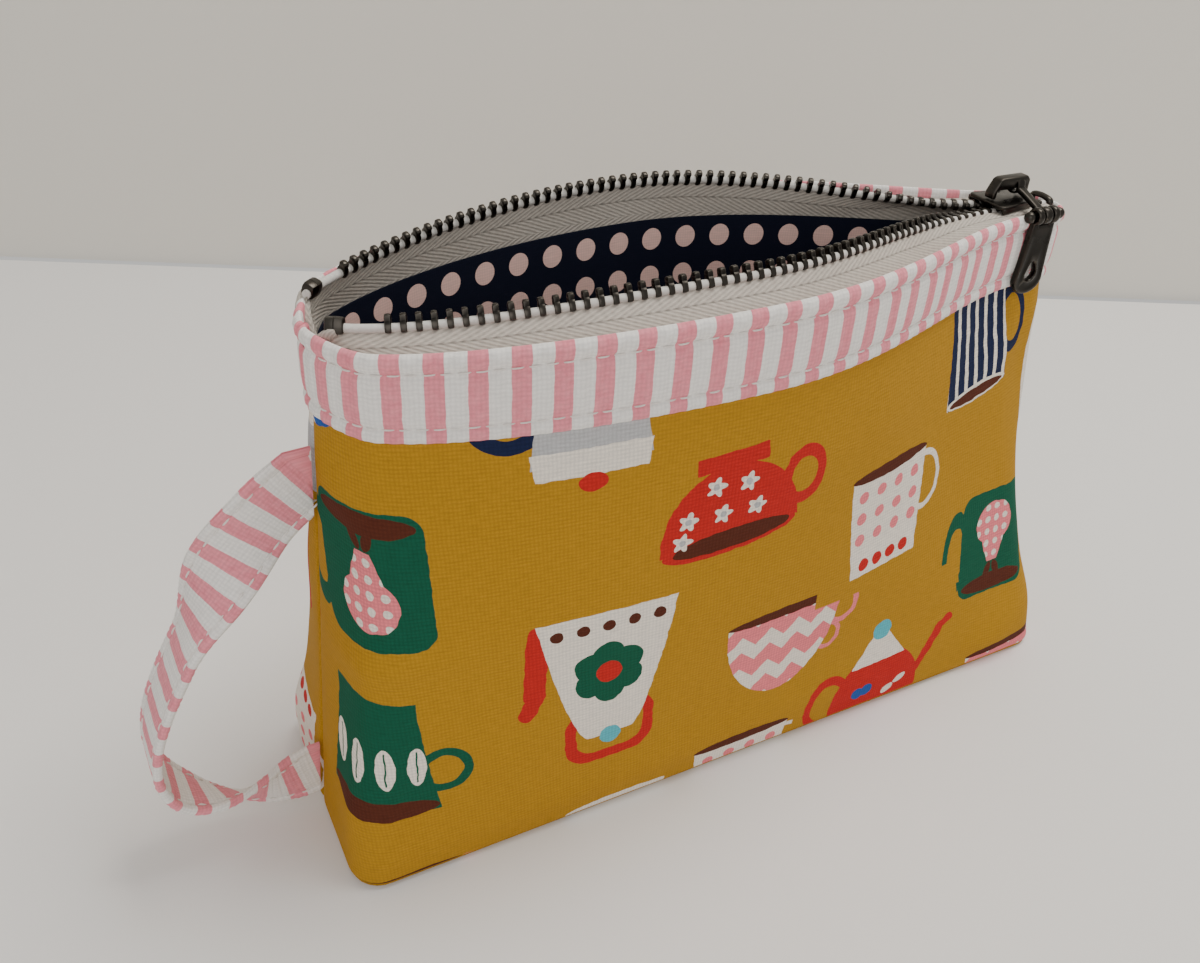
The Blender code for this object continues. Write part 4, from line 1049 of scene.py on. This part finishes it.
def build_teeth(side, word, mat):
    offset = 0.0 if side < 0 else 0.5 * TOOTH_PITCH
    x = row_points(0.0, 100, TOOTH_PITCH, side)
    count = int(np.sum(x > TAPE_LEFT + STOP_LENGTH + 0.0022))
    parts = [tooth(*row_frame(float(at), side)) for at in row_points(offset, count, TOOTH_PITCH, side)]
    obj = many_lofts("zip_teeth_" + word, parts, mat, 35.0)
    return keep_on_pouch(obj, "zip_metal", "zip_teeth_" + word)


def tube(points, radii, count=12, flat=1.0, up=(0.0, 0.0, 1.0)):
    """Rings of a round or flattened tube along a line."""
    points = np.asarray(points, float)
    rings = []
    for k, place in enumerate(points):
        way = points[min(k + 1, len(points) - 1)] - points[max(k - 1, 0)]
        way = way / np.linalg.norm(way)
        side = np.cross(way, np.array(up))
        side /= np.linalg.norm(side)
        over = np.cross(side, way)
        ring = []
        for i in range(count):
            a = 2.0 * math.pi * (i + 0.5) / count
            ring.append(place + radii[k] * (side * math.cos(a) + over * flat * math.sin(a)))
        rings.append(ring)
    return np.array(rings)


def build_cord(side, word, mat):
    """Cotton cord woven into the tape's edge, under the teeth."""
    xs = np.linspace(TAPE_RIGHT, TAPE_LEFT - 0.003, 260)
    line = [(x, side * float(row_y(x, side)), float(row_z(x))) for x in xs]
    obj = loft_object("zip_cord_" + word, tube(line, [0.00088] * len(line), 10), xs,
                      np.linspace(0.0, 0.005, 10), mat)
    return keep_on_pouch(obj, "zip_tape")


def tape_line():
    """Where the tape's foot runs in plan, just inside the band."""
    shares = cloth_columns(300)
    line = plan(shares, WALL_HEIGHT, OUTER_THICK + LAYER_GAP + 0.5 * TAPE_THICK)
    return line[np.concatenate([[True], np.diff(line[:, 0]) > 0])]


def tape_profile(x, side, foot_line):
    """Cross-section of the tape at x, from beside the cord down to its seam."""
    foot = -float(np.interp(x, foot_line[:, 0], foot_line[:, 1]))
    flat = float(np.clip((lean(x) - 0.28) / 0.72, 0.0, 1.0))
    angle = flat * math.pi / 2
    top_y = float(row_y(x, side)) + 0.0004 * math.sin(angle)
    top_z = float(row_z(x)) - 0.0004 * math.cos(angle)
    foot_z = TAPE_BOTTOM + float(rise(x, TAPE_BOTTOM))
    fall = top_z - foot_z
    upright = ((0.0, 0.0), (0.33, 0.17), (0.67, 0.34), (1.0, 0.5), (1.0, 0.75), (1.0, 1.0))
    level = ((0.0, 0.0), (0.62, 0.0), (0.86, 0.055), (0.96, 0.19), (1.0, 0.5), (1.0, 1.0))
    points = []
    for (f0, d0), (f1, d1) in zip(upright, level):
        f = f0 + (f1 - f0) * flat
        d = d0 + (d1 - d0) * flat
        points.append((x, side * (top_y + (foot - top_y) * f), top_z - fall * d))
    return smooth_line(np.array(points), 16)


def smooth_line(points, count):
    """Points at equal steps on a smooth curve through the given ones."""
    fine = []
    padded = np.vstack([2 * points[0] - points[1], points, 2 * points[-1] - points[-2]])
    for k in range(1, len(padded) - 2):
        a, b, c, d = padded[k - 1], padded[k], padded[k + 1], padded[k + 2]
        for t in np.linspace(0.0, 1.0, 16, endpoint=False):
            bend = (2 * a - 5 * b + 4 * c - d) * t * t + (3 * b - a - 3 * c + d) * t ** 3
            fine.append(0.5 * (2 * b + (c - a) * t + bend))
    fine.append(points[-1])
    return along(np.array(fine), np.linspace(0.0, 1.0, count + 1))


def build_tape(side, word, mat):
    """Herringbone tape of the zip, from the cord down behind the band."""
    foot_line = tape_line()
    xs = np.linspace(TAPE_LEFT - 0.0032, TAPE_RIGHT, 200)
    rings = []
    vs = []
    for x in xs:
        line = tape_profile(float(x), side, foot_line)
        way = np.gradient(line, axis=0)
        normal = np.stack([np.zeros(len(line)), -way[:, 2], way[:, 1]], 1)
        normal /= np.linalg.norm(normal, axis=1)[:, None]
        half = 0.5 * TAPE_THICK
        rings.append(np.vstack([line + normal * half, (line - normal * half)[::-1]]))
        run = run_length(line)
        vs.append(np.concatenate([run, run[::-1]]))
    obj = loft_object("zip_tape_" + word, rings, xs, np.array(vs), mat)
    return keep_on_pouch(obj, "zip_tape", "zip_tape_" + word)


def build_tape_end(side, word, mat):
    """The tape's end past the top stop, tucked down into the side seam."""
    x, y, z = TAPE_LEFT - STOP_LENGTH, side * float(row_y(TAPE_LEFT, side)), ROW_HEIGHT
    line = smooth_line(np.array([
        (x + 0.0016, y, z - 0.0004), (x + 0.0004, 0.90 * y, z - 0.0010), (x - 0.0008, 0.66 * y, z - 0.0034),
        (x - 0.0006, 0.42 * y, z - 0.0070), (x + 0.0002, 0.22 * y, z - 0.0120)]), 30)
    t = np.linspace(0.0, 1.0, 31)
    radii = 0.0009 + 0.0007 * np.sin(math.pi * np.clip(t * 1.05, 0.0, 1.0)) ** 0.7
    rings = tube(line, radii, 16, 0.7, (0.35, 1.0, 0.2))
    obj = loft_object("tape_end_" + word, rings, t * 0.02, np.linspace(0.0, 0.008, 16), mat)
    return keep_on_pouch(obj, "zip_tape")


# ----------------------------------------------------------------- metal pieces
def bevelled(name, mat, bm, width):
    """A metal piece with rounded edges and smooth shading."""
    mesh = bpy.data.meshes.new(name)
    bmesh.ops.recalc_face_normals(bm, faces=bm.faces)
    bm.to_mesh(mesh)
    bm.free()
    obj = add_object(name, mesh)
    mesh.materials.append(mat)
    if width > 0.0:
        mod = obj.modifiers.new("edges", "BEVEL")
        mod.width = width
        mod.segments = 3
        mod.limit_method = "ANGLE"
        mod.angle_limit = math.radians(30)
        bake(obj)
    round_shading(obj.data, 35.0)
    return obj


def bake(obj):
    """Apply an object's modifiers to its mesh."""
    bpy.context.view_layer.update()
    graph = bpy.context.evaluated_depsgraph_get()
    mesh = bpy.data.meshes.new_from_object(obj.evaluated_get(graph))
    obj.modifiers.clear()
    obj.data = mesh


def join_pieces(obj, others):
    """Unite solids into obj with exact booleans."""
    for other in others:
        mod = obj.modifiers.new("join", "BOOLEAN")
        mod.operation = "UNION"
        mod.solver = "EXACT"
        mod.object = other
        bake(obj)
        bpy.data.objects.remove(other, do_unlink=True)
    return obj


def slab(outline, low, high):
    """A bmesh prism over an outline of (x, y) points, between two heights."""
    bm = bmesh.new()
    below = [bm.verts.new((x, y, low)) for x, y in outline]
    above = [bm.verts.new((x, y, high)) for x, y in outline]
    bm.faces.new(below[::-1])
    bm.faces.new(above)
    for k in range(len(outline)):
        j = (k + 1) % len(outline)
        bm.faces.new((below[k], below[j], above[j], above[k]))
    return bm


def channel_half(x):
    """Half width of the slider's channel at x, wide at its open end."""
    wide = float(row_y(SLIDER_LEFT)) + TOOTH_ROOT + 0.0005
    narrow = float(row_y(SLIDER_RIGHT)) + TOOTH_ROOT + 0.0003
    return wide + (narrow - wide) * (x - SLIDER_LEFT) / (SLIDER_RIGHT - SLIDER_LEFT)


# Outline of a slider plate: share of its length, and share of its full width there.
PLATE_SHAPE = (
    (0.0, 0.78), (0.05, 0.93), (0.14, 1.0), (0.45, 1.0),
    (0.75, 1.0), (0.9, 0.96), (0.97, 0.82), (1.0, 0.5),
)


def slider_outline():
    """Plan of a slider plate: shoulders at its wide end, round at its nose."""
    half = []
    for t, share in PLATE_SHAPE:
        x = SLIDER_LEFT + (SLIDER_RIGHT - SLIDER_LEFT) * t
        half.append((x, share * (channel_half(x) + SLIDER_LIP)))
    return half + [(x, -y) for x, y in half[::-1]]


def slider_plate(name, low, mat):
    """One of the slider's two plates, from its lower face up."""
    return bevelled(name, mat, slab(slider_outline(), low, low + SLIDER_PLATE), 0.00035)


def build_slider(mat):
    """Two plates, side lips and a wedge: the body that runs on the teeth."""
    above = ROW_HEIGHT + SLIDER_ROOM
    below = ROW_HEIGHT - SLIDER_ROOM
    top = slider_plate("slider_body", above, mat)
    others = [slider_plate("floor", below - SLIDER_PLATE, mat)]
    left = SLIDER_LEFT + 0.0006
    right = SLIDER_RIGHT - 0.0005
    ends = [(x, channel_half(x)) for x in (left, right)]
    for side in (-1, 1):
        outline = [(x, side * y) for x, y in ends] + [(x, side * (y + 0.00085)) for x, y in ends[::-1]]
        for low, high in ((ROW_HEIGHT + 0.00052, above + 0.0004), (below - 0.0004, ROW_HEIGHT - 0.00052)):
            others.append(bevelled("lip", mat, slab(outline, low, high), 0.0002))
    wedge_half = float(row_y(SLIDER_LEFT)) - TOOTH_REACH - 0.0003
    post = [(left - 0.0004, -wedge_half), (left + 0.0012, -0.25 * wedge_half),
            (left + 0.0012, 0.25 * wedge_half), (left - 0.0004, wedge_half)]
    others.append(bevelled("post", mat, slab(post, below - 0.0002, above + 0.0002), 0.0))
    return metal(join_pieces(top, others), "slider", "slider_body")


def metal(obj, body, *nodes):
    """Gunmetal piece that rides one body and stands for its CAD nodes."""
    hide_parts(*nodes)
    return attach(obj, body)


def build_crown(mat):
    """Low bridge over the slider: a long flat cap on two feet."""
    foot = BAR_Z - 0.0026
    under = BAR_Z - 0.0006
    top = BAR_Z + 0.0023
    left = SLIDER_X - 0.0053
    right = SLIDER_X + 0.0061
    outline = [(left, foot), (left, foot + 0.0016), (left + 0.0016, top - 0.0004), (left + 0.0026, top),
               (right - 0.0009, top), (right, top - 0.0010), (right, foot), (right - 0.0013, foot),
               (right - 0.0013, under), (left + 0.0013, under), (left + 0.0013, foot)]
    bm = slab(outline, -0.0015, 0.0015)
    for v in bm.verts:
        v.co = (v.co.x, v.co.z, v.co.y)
    return metal(bevelled("slider_crown", mat, bm, 0.00045), "slider", "slider_crown")


def build_spring(mat):
    """Folded leaf spring of the lock, inside the crown."""
    foot = BAR_Z - 0.0025
    x = SLIDER_X - 0.0036
    line = smooth_line(np.array([
        (x, 0, foot), (x - 0.0001, 0, foot + 0.0008), (x + 0.0002, 0, foot + 0.0014),
        (x + 0.0009, 0, foot + 0.0016), (x + 0.0016, 0, foot + 0.0013)]), 20)
    obj = loft_object("lock_spring", tube(line, [0.0005] * 21, 10, 0.4, (0.0, 1.0, 0.0)),
                      np.zeros(21), np.zeros(10), mat)
    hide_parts("lock_spring")
    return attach(obj, "slider")


def torus_rings(centre, radius, wire_r, wire_x, turns=40, count=14):
    """Rings of a ring round an axis along X; the last ring meets the first."""
    rings = []
    for k in range(turns):
        a = 2.0 * math.pi * k / turns
        out = np.array([0.0, math.cos(a), math.sin(a)])
        ring = []
        for i in range(count):
            b = 2.0 * math.pi * i / count
            level = np.array([wire_x * math.sin(b), 0.0, 0.0])
            ring.append(centre + out * (radius + wire_r * math.cos(b)) + level)
        rings.append(ring)
    return np.array(rings)


def closed_object(name, rings, mat):
    """A body whose rings close on themselves."""
    turns, count = rings.shape[:2]
    faces = []
    for i in range(turns):
        for j in range(count):
            a, b = (i + 1) % turns, (j + 1) % count
            faces.append((i * count + j, i * count + b, a * count + b, a * count + j))
    return make_object(name, rings.reshape(-1, 3), faces, mat)


def build_link(mat):
    """Link of the pull: an eye on the crown, a shank and an eye on the pin."""
    bar = np.array([LINK_X, 0.0, BAR_Z])
    pin = np.array([LINK_X, PIN_Y, PIN_Z])
    way = (pin - bar) / np.linalg.norm(pin - bar)
    link = closed_object("pull_link", torus_rings(bar, 0.0019, 0.0003, 0.0012), mat)
    far = closed_object("far_eye", torus_rings(pin, EYE_RADIUS, 0.00050, 0.0012), mat)
    line = [bar + way * d for d in np.linspace(0.0019, np.linalg.norm(pin - bar) - 0.0016, 12)]
    t = np.linspace(-1.0, 1.0, 12)
    rings = []
    side = np.array([1.0, 0.0, 0.0])
    over = np.cross(way, side)
    for place, s in zip(line, t):
        wide = 0.00105 + 0.00022 * s * s
        ring = []
        for i in range(16):
            a = 2.0 * math.pi * (i + 0.5) / 16
            x = math.copysign(abs(math.cos(a)) ** 0.5, math.cos(a)) * wide
            h = math.copysign(abs(math.sin(a)) ** 0.5, math.sin(a)) * 0.00068
            ring.append(place + side * x + over * h)
        rings.append(ring)
    shank = loft_object("shank", rings, np.zeros(12), np.zeros(16), mat)
    join_pieces(link, [shank, far])
    round_shading(link.data, 50.0)
    return metal(link, "link", "pull_link")


def build_pin(mat):
    """Pin with ball ends."""
    line = []
    radii = []
    for s in (-1, 1):
        for k in range(9):
            a = PIN_TURN * k / 8.0
            a = a if s < 0 else PIN_TURN - a
            radii.append(max(PIN_BALL * math.sin(a), 0.00005))
            line.append((LINK_X + s * (0.0047 + PIN_BALL * math.cos(a)), PIN_Y, PIN_Z))
    radii[8] = radii[9] = PIN_RADIUS
    rings = tube(line, radii, 20)
    obj = loft_object("pull_pin", rings, np.zeros(len(line)), np.zeros(20), mat, 60.0)
    return metal(obj, "link", "pull_pin")


def tab_half(t):
    """Half width of the tab from its pin end, t = 0, to its round end, t = 1."""
    straight = 0.0036 + 0.0009 * min(t / TAB_ROUND, 1.0) ** 1.6
    if t < TAB_ROUND:
        return straight
    part = (t - TAB_ROUND) / (1.0 - TAB_ROUND)
    return straight * math.sqrt(max(1.0 - part * part, 0.0))


def build_tab(mat):
    """Cast pull tab: rounded rim, drop-shaped hole, two lugs on the pin."""
    start = 0.0019
    count = 96
    hole_mid = TAB_LENGTH - 0.0053
    outer = []
    inner = []
    for k in range(count):
        a = 2.0 * math.pi * k / count
        dx, dz = math.sin(a), -math.cos(a)
        low, high = 0.0, 0.02
        for _ in range(40):
            mid = 0.5 * (low + high)
            down = hole_mid - dz * mid
            t = (down - start) / (TAB_LENGTH - start)
            inside = 0.0 <= t <= 1.0 and abs(dx * mid) <= tab_half(min(max(t, 0.0), 1.0))
            low, high = (mid, high) if inside else (low, mid)
        outer.append((dx * low, hole_mid - dz * low))
        drop = 0.00165 * (1.0 + 0.75 * max(dz, 0.0) ** 3.0)
        inner.append((dx * drop * (1.0 - 0.35 * max(dz, 0.0) ** 2), hole_mid - dz * drop))
    rings = []
    for k in range(count):
        (ox, od), (ix, i_d) = outer[k], inner[k]
        ring = []
        for share, thick in ((0.0, 0.0), (0.015, 0.0005), (0.05, 0.00078), (0.12, 0.0009), (0.30, 0.00074),
                             (0.55, 0.00070), (0.78, 0.00074), (0.90, 0.0009), (0.97, 0.00062), (1.0, 0.0)):
            ring.append((share, thick))
        profile = ring + [(s, -h) for s, h in ring[-2:0:-1]]
        rings.append([(LINK_X + ox + (ix - ox) * s, PIN_Y + h, PIN_Z - (od + (i_d - od) * s))
                      for s, h in profile])
    tab = closed_object("pull_tab", np.array(rings), mat)
    others = []
    for side in (-1, 1):
        centre = np.array([LINK_X + side * 0.0025, PIN_Y, PIN_Z])
        others.append(closed_object("lug", torus_rings(centre, EYE_RADIUS, 0.00052, 0.00095), mat))
        corners = ((-1, -1), (1, -1), (1, 1), (-1, 1))
        neck = slab([(centre[0] + 0.0009 * a, PIN_Y + 0.00085 * b) for a, b in corners],
                    PIN_Z - 0.0032, PIN_Z - 0.0014)
        others.append(bevelled("neck", mat, neck, 0.0003))
    join_pieces(tab, others)
    round_shading(tab.data, 50.0)
    return metal(tab, "tab", "pull_tab")


def build_stop(side, word, mat):
    """Top stop: a thick clamp folded over the cord."""
    place, way, tip, up = row_frame(TAPE_LEFT, side)
    centre = place - way * (0.5 * STOP_LENGTH + LAYER_GAP) + tip * 0.0004
    half = [(-1.55, 0.75), (-1.35, 1.15), (-0.5, 1.32), (0.6, 1.32), (1.35, 1.10), (1.6, 0.6)]
    section = half + [(a, -b) for a, b in half[::-1]]
    rings = []
    for offset, scale in ((-1.7, 0.80), (-1.6, 0.93), (-1.35, 1.0), (-0.1, 1.03), (0.0, 0.985), (0.1, 1.03),
                          (1.35, 1.0), (1.6, 0.93), (1.7, 0.80)):
        rings.append([centre + 0.001 * (way * offset + tip * a * scale + up * b * scale) for a, b in section])
    obj = loft_object("top_stop_" + word, rings, np.zeros(9), np.zeros(12), mat, 30.0)
    return keep_on_pouch(obj, "zip_metal", "top_stop_" + word)


def build_bottom_stop(mat):
    """Staple across both cords at the closed end."""
    half = CHAIN_HALF + CORD_HALF
    line = smooth_line(np.array([
        (BOTTOM_STOP_X, y * half, ROW_HEIGHT + up) for y, up in
        ((-1.0, -0.0009), (-1.0, 0.0007), (-0.4, 0.0012), (0.4, 0.0012), (1.0, 0.0007), (1.0, -0.0009))]), 30)
    obj = loft_object("bottom_stop", tube(line, [0.0007] * 31, 12, 1.3, (1.0, 0.0, 0.0)),
                      np.zeros(31), np.zeros(12), mat)
    return keep_on_pouch(obj, "zip_metal", "bottom_stop")


# ------------------------------------------------------------------ wrist strap
def seam_x(height):
    """Where the left side seam stands at a height."""
    return float(plan(np.array([0.0]), height)[0, 0])


def strap_path(count):
    """Centre line of the loop in the plane of the side seam, top to bottom."""
    top_x = seam_x(STRAP_TOP_Z) - STRAP_SEAM_GAP
    low_x = seam_x(STRAP_BOTTOM_Z) - STRAP_SEAM_GAP
    drop = STRAP_TOP_Z - STRAP_BOTTOM_Z
    shape = ((0.0, 1.0), (0.20, 0.925), (0.38, 0.83), (0.55, 0.71), (0.705, 0.57), (0.84, 0.44),
             (0.93, 0.32), (0.955, 0.20), (0.87, 0.09), (0.67, 0.01), (0.42, -0.02))
    points = [(top_x - STRAP_REACH * a, STRAP_BOTTOM_Z + drop * b) for a, b in shape]
    points.append((low_x, STRAP_BOTTOM_Z))
    return smooth_line(np.array(points), count)


def strap_twist(share):
    """The ribbon lies in the seam's plane at both ends and turns between."""
    rising = min(max((share - 0.10) / 0.28, 0.0), 1.0)
    falling = min(max((1.0 - share) / 0.30, 0.0), 1.0)
    smooth = rising * rising * (3 - 2 * rising) * falling * falling * (3 - 2 * falling)
    return math.radians(88.0) * smooth


# Cross-section of the folded ribbon: across its width, and its thickness (mm).
STRAP_TOP_HALF = (
    (-8.0, 0.0), (-7.95, 0.45), (-7.6, 0.85), (-7.0, 1.0), (-6.2, 0.85), (-5.9, 0.62), (-5.6, 0.72),
    (-4.5, 0.95), (-2.0, 1.0), (0.0, 0.96), (2.0, 1.0), (4.5, 0.95), (5.6, 0.72), (5.9, 0.62),
    (6.2, 0.85), (7.0, 1.05), (7.6, 0.98), (7.92, 0.65), (7.95, 0.30), (7.45, 0.04),
)
STRAP_SECTION = STRAP_TOP_HALF + tuple((a, -b) for a, b in STRAP_TOP_HALF[::-1])
STRAP_STEPS = 220


def strap_frames():
    """Place, way, across and face direction at each step of the loop."""
    path = strap_path(STRAP_STEPS)
    frames = []
    for k, (x, z) in enumerate(path):
        way = path[min(k + 1, STRAP_STEPS)] - path[max(k - 1, 0)]
        way = way / np.linalg.norm(way)
        way = np.array([way[0], 0.0, way[1]])
        out = np.array([way[2], 0.0, -way[0]])
        turn = strap_twist(k / STRAP_STEPS)
        across = out * math.cos(turn) + np.array([0.0, 1.0, 0.0]) * math.sin(turn)
        frames.append((np.array([x, 0.0, z]), way, across, np.cross(way, across)))
    return frames


def seam_clear(point, k):
    """Keep the loop's two ends outside the side seam."""
    limit = seam_x(point[2]) - STRAP_SEAM_GAP
    if k in (0, STRAP_STEPS):
        point[0] = limit
    else:
        point[0] = min(point[0], limit)
    return point


def build_strap(mat):
    """Ribbon folded in half along its length, topstitched along both edges."""
    frames = strap_frames()
    rings = []
    for k, (place, _, across, face) in enumerate(frames):
        thin = 0.62 + 0.38 * min(min(k, STRAP_STEPS - k) / 10.0, 1.0)
        ring = []
        for a, b in STRAP_SECTION:
            pucker = 1.0 + 0.10 * math.sin(k * 2.1)
            ring.append(seam_clear(place + 0.001 * (across * a + face * b * thin * pucker), k))
        rings.append(ring)
    section = np.array(STRAP_SECTION) * 0.001
    v = run_length(section)
    u = run_length(np.array([f[0] for f in frames]))
    obj = loft_object("wrist_strap", rings, u, v, mat, 60.0)
    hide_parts("wrist_strap")
    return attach(obj, "strap")


def strap_stitches(mat):
    frames = strap_frames()
    places = np.array([f[0] for f in frames])
    run = run_length(places)
    parts = []
    for row in (-5.9, 5.9):
        for side in (-1, 1):
            for at in np.arange(0.004, run[-1] - 0.003, STITCH_PITCH):
                k = int(np.searchsorted(run, at))
                place, way, across, face = frames[k]
                spot = place + 0.001 * (across * row + face * side * 0.72)
                parts.append(stitch(spot, way, face * side))
    obj = many_lofts("strap_stitches", parts, mat)
    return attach(obj, "strap")


# ------------------------------------------------------------- stage and camera
CAMERA_PLACE = (-0.13385, -0.18206, 0.21937)
CAMERA_TURN = (0.5047, 0.6009, 0.0597)     # yaw, pitch down and roll (radians)
CAMERA_LENS = 32.37                        # mm, on a 36 mm wide sensor
TABLE_EDGE = ((-0.1111, 0.3548, 0.0), (0.3660, 0.1240, 0.0))     # where table and wall meet
STAGE_REACH = 3
WALL_HEIGHT_SEEN = 2.5


def build_stage():
    """Pale table top and the wall behind it."""
    p = Paint("pale_table", 0.45)
    here = p.position()
    cloud = p.noise(here, 3.0, 3.0)
    floor_mat = p.finish(p.mix(cloud, (0.82, 0.805, 0.785), (0.86, 0.845, 0.825)))
    q = Paint("pale_wall", 0.9)
    fog = q.noise(q.position(), 2.0, 2.0)
    wall_mat = q.finish(q.mix(fog, (0.74, 0.715, 0.655), (0.78, 0.755, 0.695)))
    far_left = Vector(TABLE_EDGE[0])
    way = (Vector(TABLE_EDGE[1]) - far_left).normalized()
    back = Vector((-way.y, way.x, 0.0))
    left = far_left - way * STAGE_REACH
    right = far_left + way * STAGE_REACH
    gap = back * 0.004
    high = Vector((0, 0, WALL_HEIGHT_SEEN))
    for name, mat, corners in (
            ("table", floor_mat, (left - back * STAGE_REACH, right - back * STAGE_REACH, right, left)),
            ("wall", wall_mat, (left + gap, right + gap, right + gap + high, left + gap + high))):
        mesh = bpy.data.meshes.new(name)
        mesh.from_pydata([tuple(c - Vector((0, 0, 0.0002))) for c in corners], [], [(0, 1, 2, 3)])
        mesh.materials.append(mat)
        add_object(name, mesh)


def area_light(name, place, target, size, power, colour):
    """Round soft light that looks at a target."""
    lamp = bpy.data.lights.new(name, "AREA")
    lamp.shape = "DISK"
    lamp.size = size
    lamp.energy = power
    lamp.color = colour
    obj = add_object(name, lamp)
    obj.location = place
    obj.rotation_euler = (Vector(target) - Vector(place)).to_track_quat("-Z", "Y").to_euler()


def build_lights():
    world = bpy.data.worlds.new("soft_room")
    bpy.context.scene.world = world
    world.use_nodes = True
    back = world.node_tree.nodes["Background"]
    back.inputs["Color"].default_value = (1.0, 0.985, 0.96, 1.0)
    back.inputs["Strength"].default_value = 0.62
    area_light("overhead", (0.35, 0.05, 0.95), (0.0, 0.0, 0.0), 0.55, 8.6, (1.0, 0.97, 0.92))
    area_light("front_fill", (-0.55, -0.85, 0.6), (0.0, 0.0, 0.05), 0.8, 2.9, (1.0, 0.98, 0.96))


def build_camera():
    """The photograph's view, from the place and turns that were fitted to it."""
    yaw, pitch, roll = CAMERA_TURN
    forward = Vector((math.sin(yaw) * math.cos(pitch), math.cos(yaw) * math.cos(pitch), -math.sin(pitch)))
    level = Vector((math.cos(yaw), -math.sin(yaw), 0.0))
    over = level.cross(forward)
    right = level * math.cos(roll) + over * math.sin(roll)
    above = over * math.cos(roll) - level * math.sin(roll)
    data = bpy.data.cameras.new("photo_view")
    data.sensor_width = 36.0
    data.lens = CAMERA_LENS
    data.clip_start = 0.01
    camera = add_object("photo_view", data)
    turn = Matrix((right, above, -forward)).transposed().to_4x4()
    camera.matrix_world = Matrix.Translation(CAMERA_PLACE) @ turn
    bpy.context.scene.camera = camera


# ------------------------------------------------------------------------- main
def build_pouch():
    canvas = canvas_material()
    prints = {motif: canvas_material(motif) for motif in MOTIF_REACH}
    stripes = stripe_material("striped_band", 0.00765, 0.47, 0.0068)
    ribbon = stripe_material("striped_ribbon", 0.0077, 0.46, 0.0)
    lining = lining_material()
    tape = tape_material()
    fleece = fleece_material()
    white_thread = thread_material("white_thread", (0.80, 0.76, 0.72))
    cord = thread_material("cotton_cord", (0.66, 0.64, 0.60), 4200.0)
    gunmetal = metal_material("gunmetal", (0.012, 0.0108, 0.0095), (0.026, 0.0235, 0.021), 0.27, 0.22)
    steel = metal_material("bright_spring", (0.42, 0.40, 0.37), (0.55, 0.53, 0.50), 0.28, 0.3)
    first = OUTER_THICK + LAYER_GAP
    second = first + FLEECE_THICK + LAYER_GAP
    for side, word in ((-1, "front"), (1, "back")):
        outer = build_outer(side, word, canvas, prints)
        fleece_piece = build_inner_wall(side, word, "interfacing", fleece, "fleece", first, FLEECE_THICK,
                                        second, FLEECE_TOP, 0.0, ["interfacing_" + word])
        inner = build_inner_wall(side, word, "lining", lining, "lining", second, LINING_THICK,
                                 second + LINING_THICK + LAYER_GAP, LINING_TOP, 0.9, ["lining_" + word])
        band = build_band(side, word, stripes)
        seams = band_stitches(side, word, white_thread)
        zip_cloth = build_tape(side, word, tape)
        fold_end = build_tape_end(side, word, tape)
        edge = build_cord(side, word, cord)
        teeth = build_teeth(side, word, gunmetal)
        stop = build_stop(side, word, gunmetal)
    build_panel("outer_base", 0.0010, 0.0, OUTER_THICK, canvas, "canvas", 0.0, ["outer_base"])
    build_panel("interfacing_base", first + LAYER_GAP, first, FLEECE_THICK, fleece, "fleece", 0.0,
                ["interfacing_base"])
    build_panel("lining_base", second + LAYER_GAP, second, LINING_THICK, lining, "lining", 0.0012,
                ["lining_base"])
    build_bottom_stop(gunmetal)
    build_slider(gunmetal)
    build_crown(gunmetal)
    build_spring(steel)
    build_link(gunmetal)
    build_pin(gunmetal)
    build_tab(gunmetal)
    strap = build_strap(ribbon)
    stitches = strap_stitches(white_thread)


build_camera()
build_lights()
build_stage()
build_pouch()
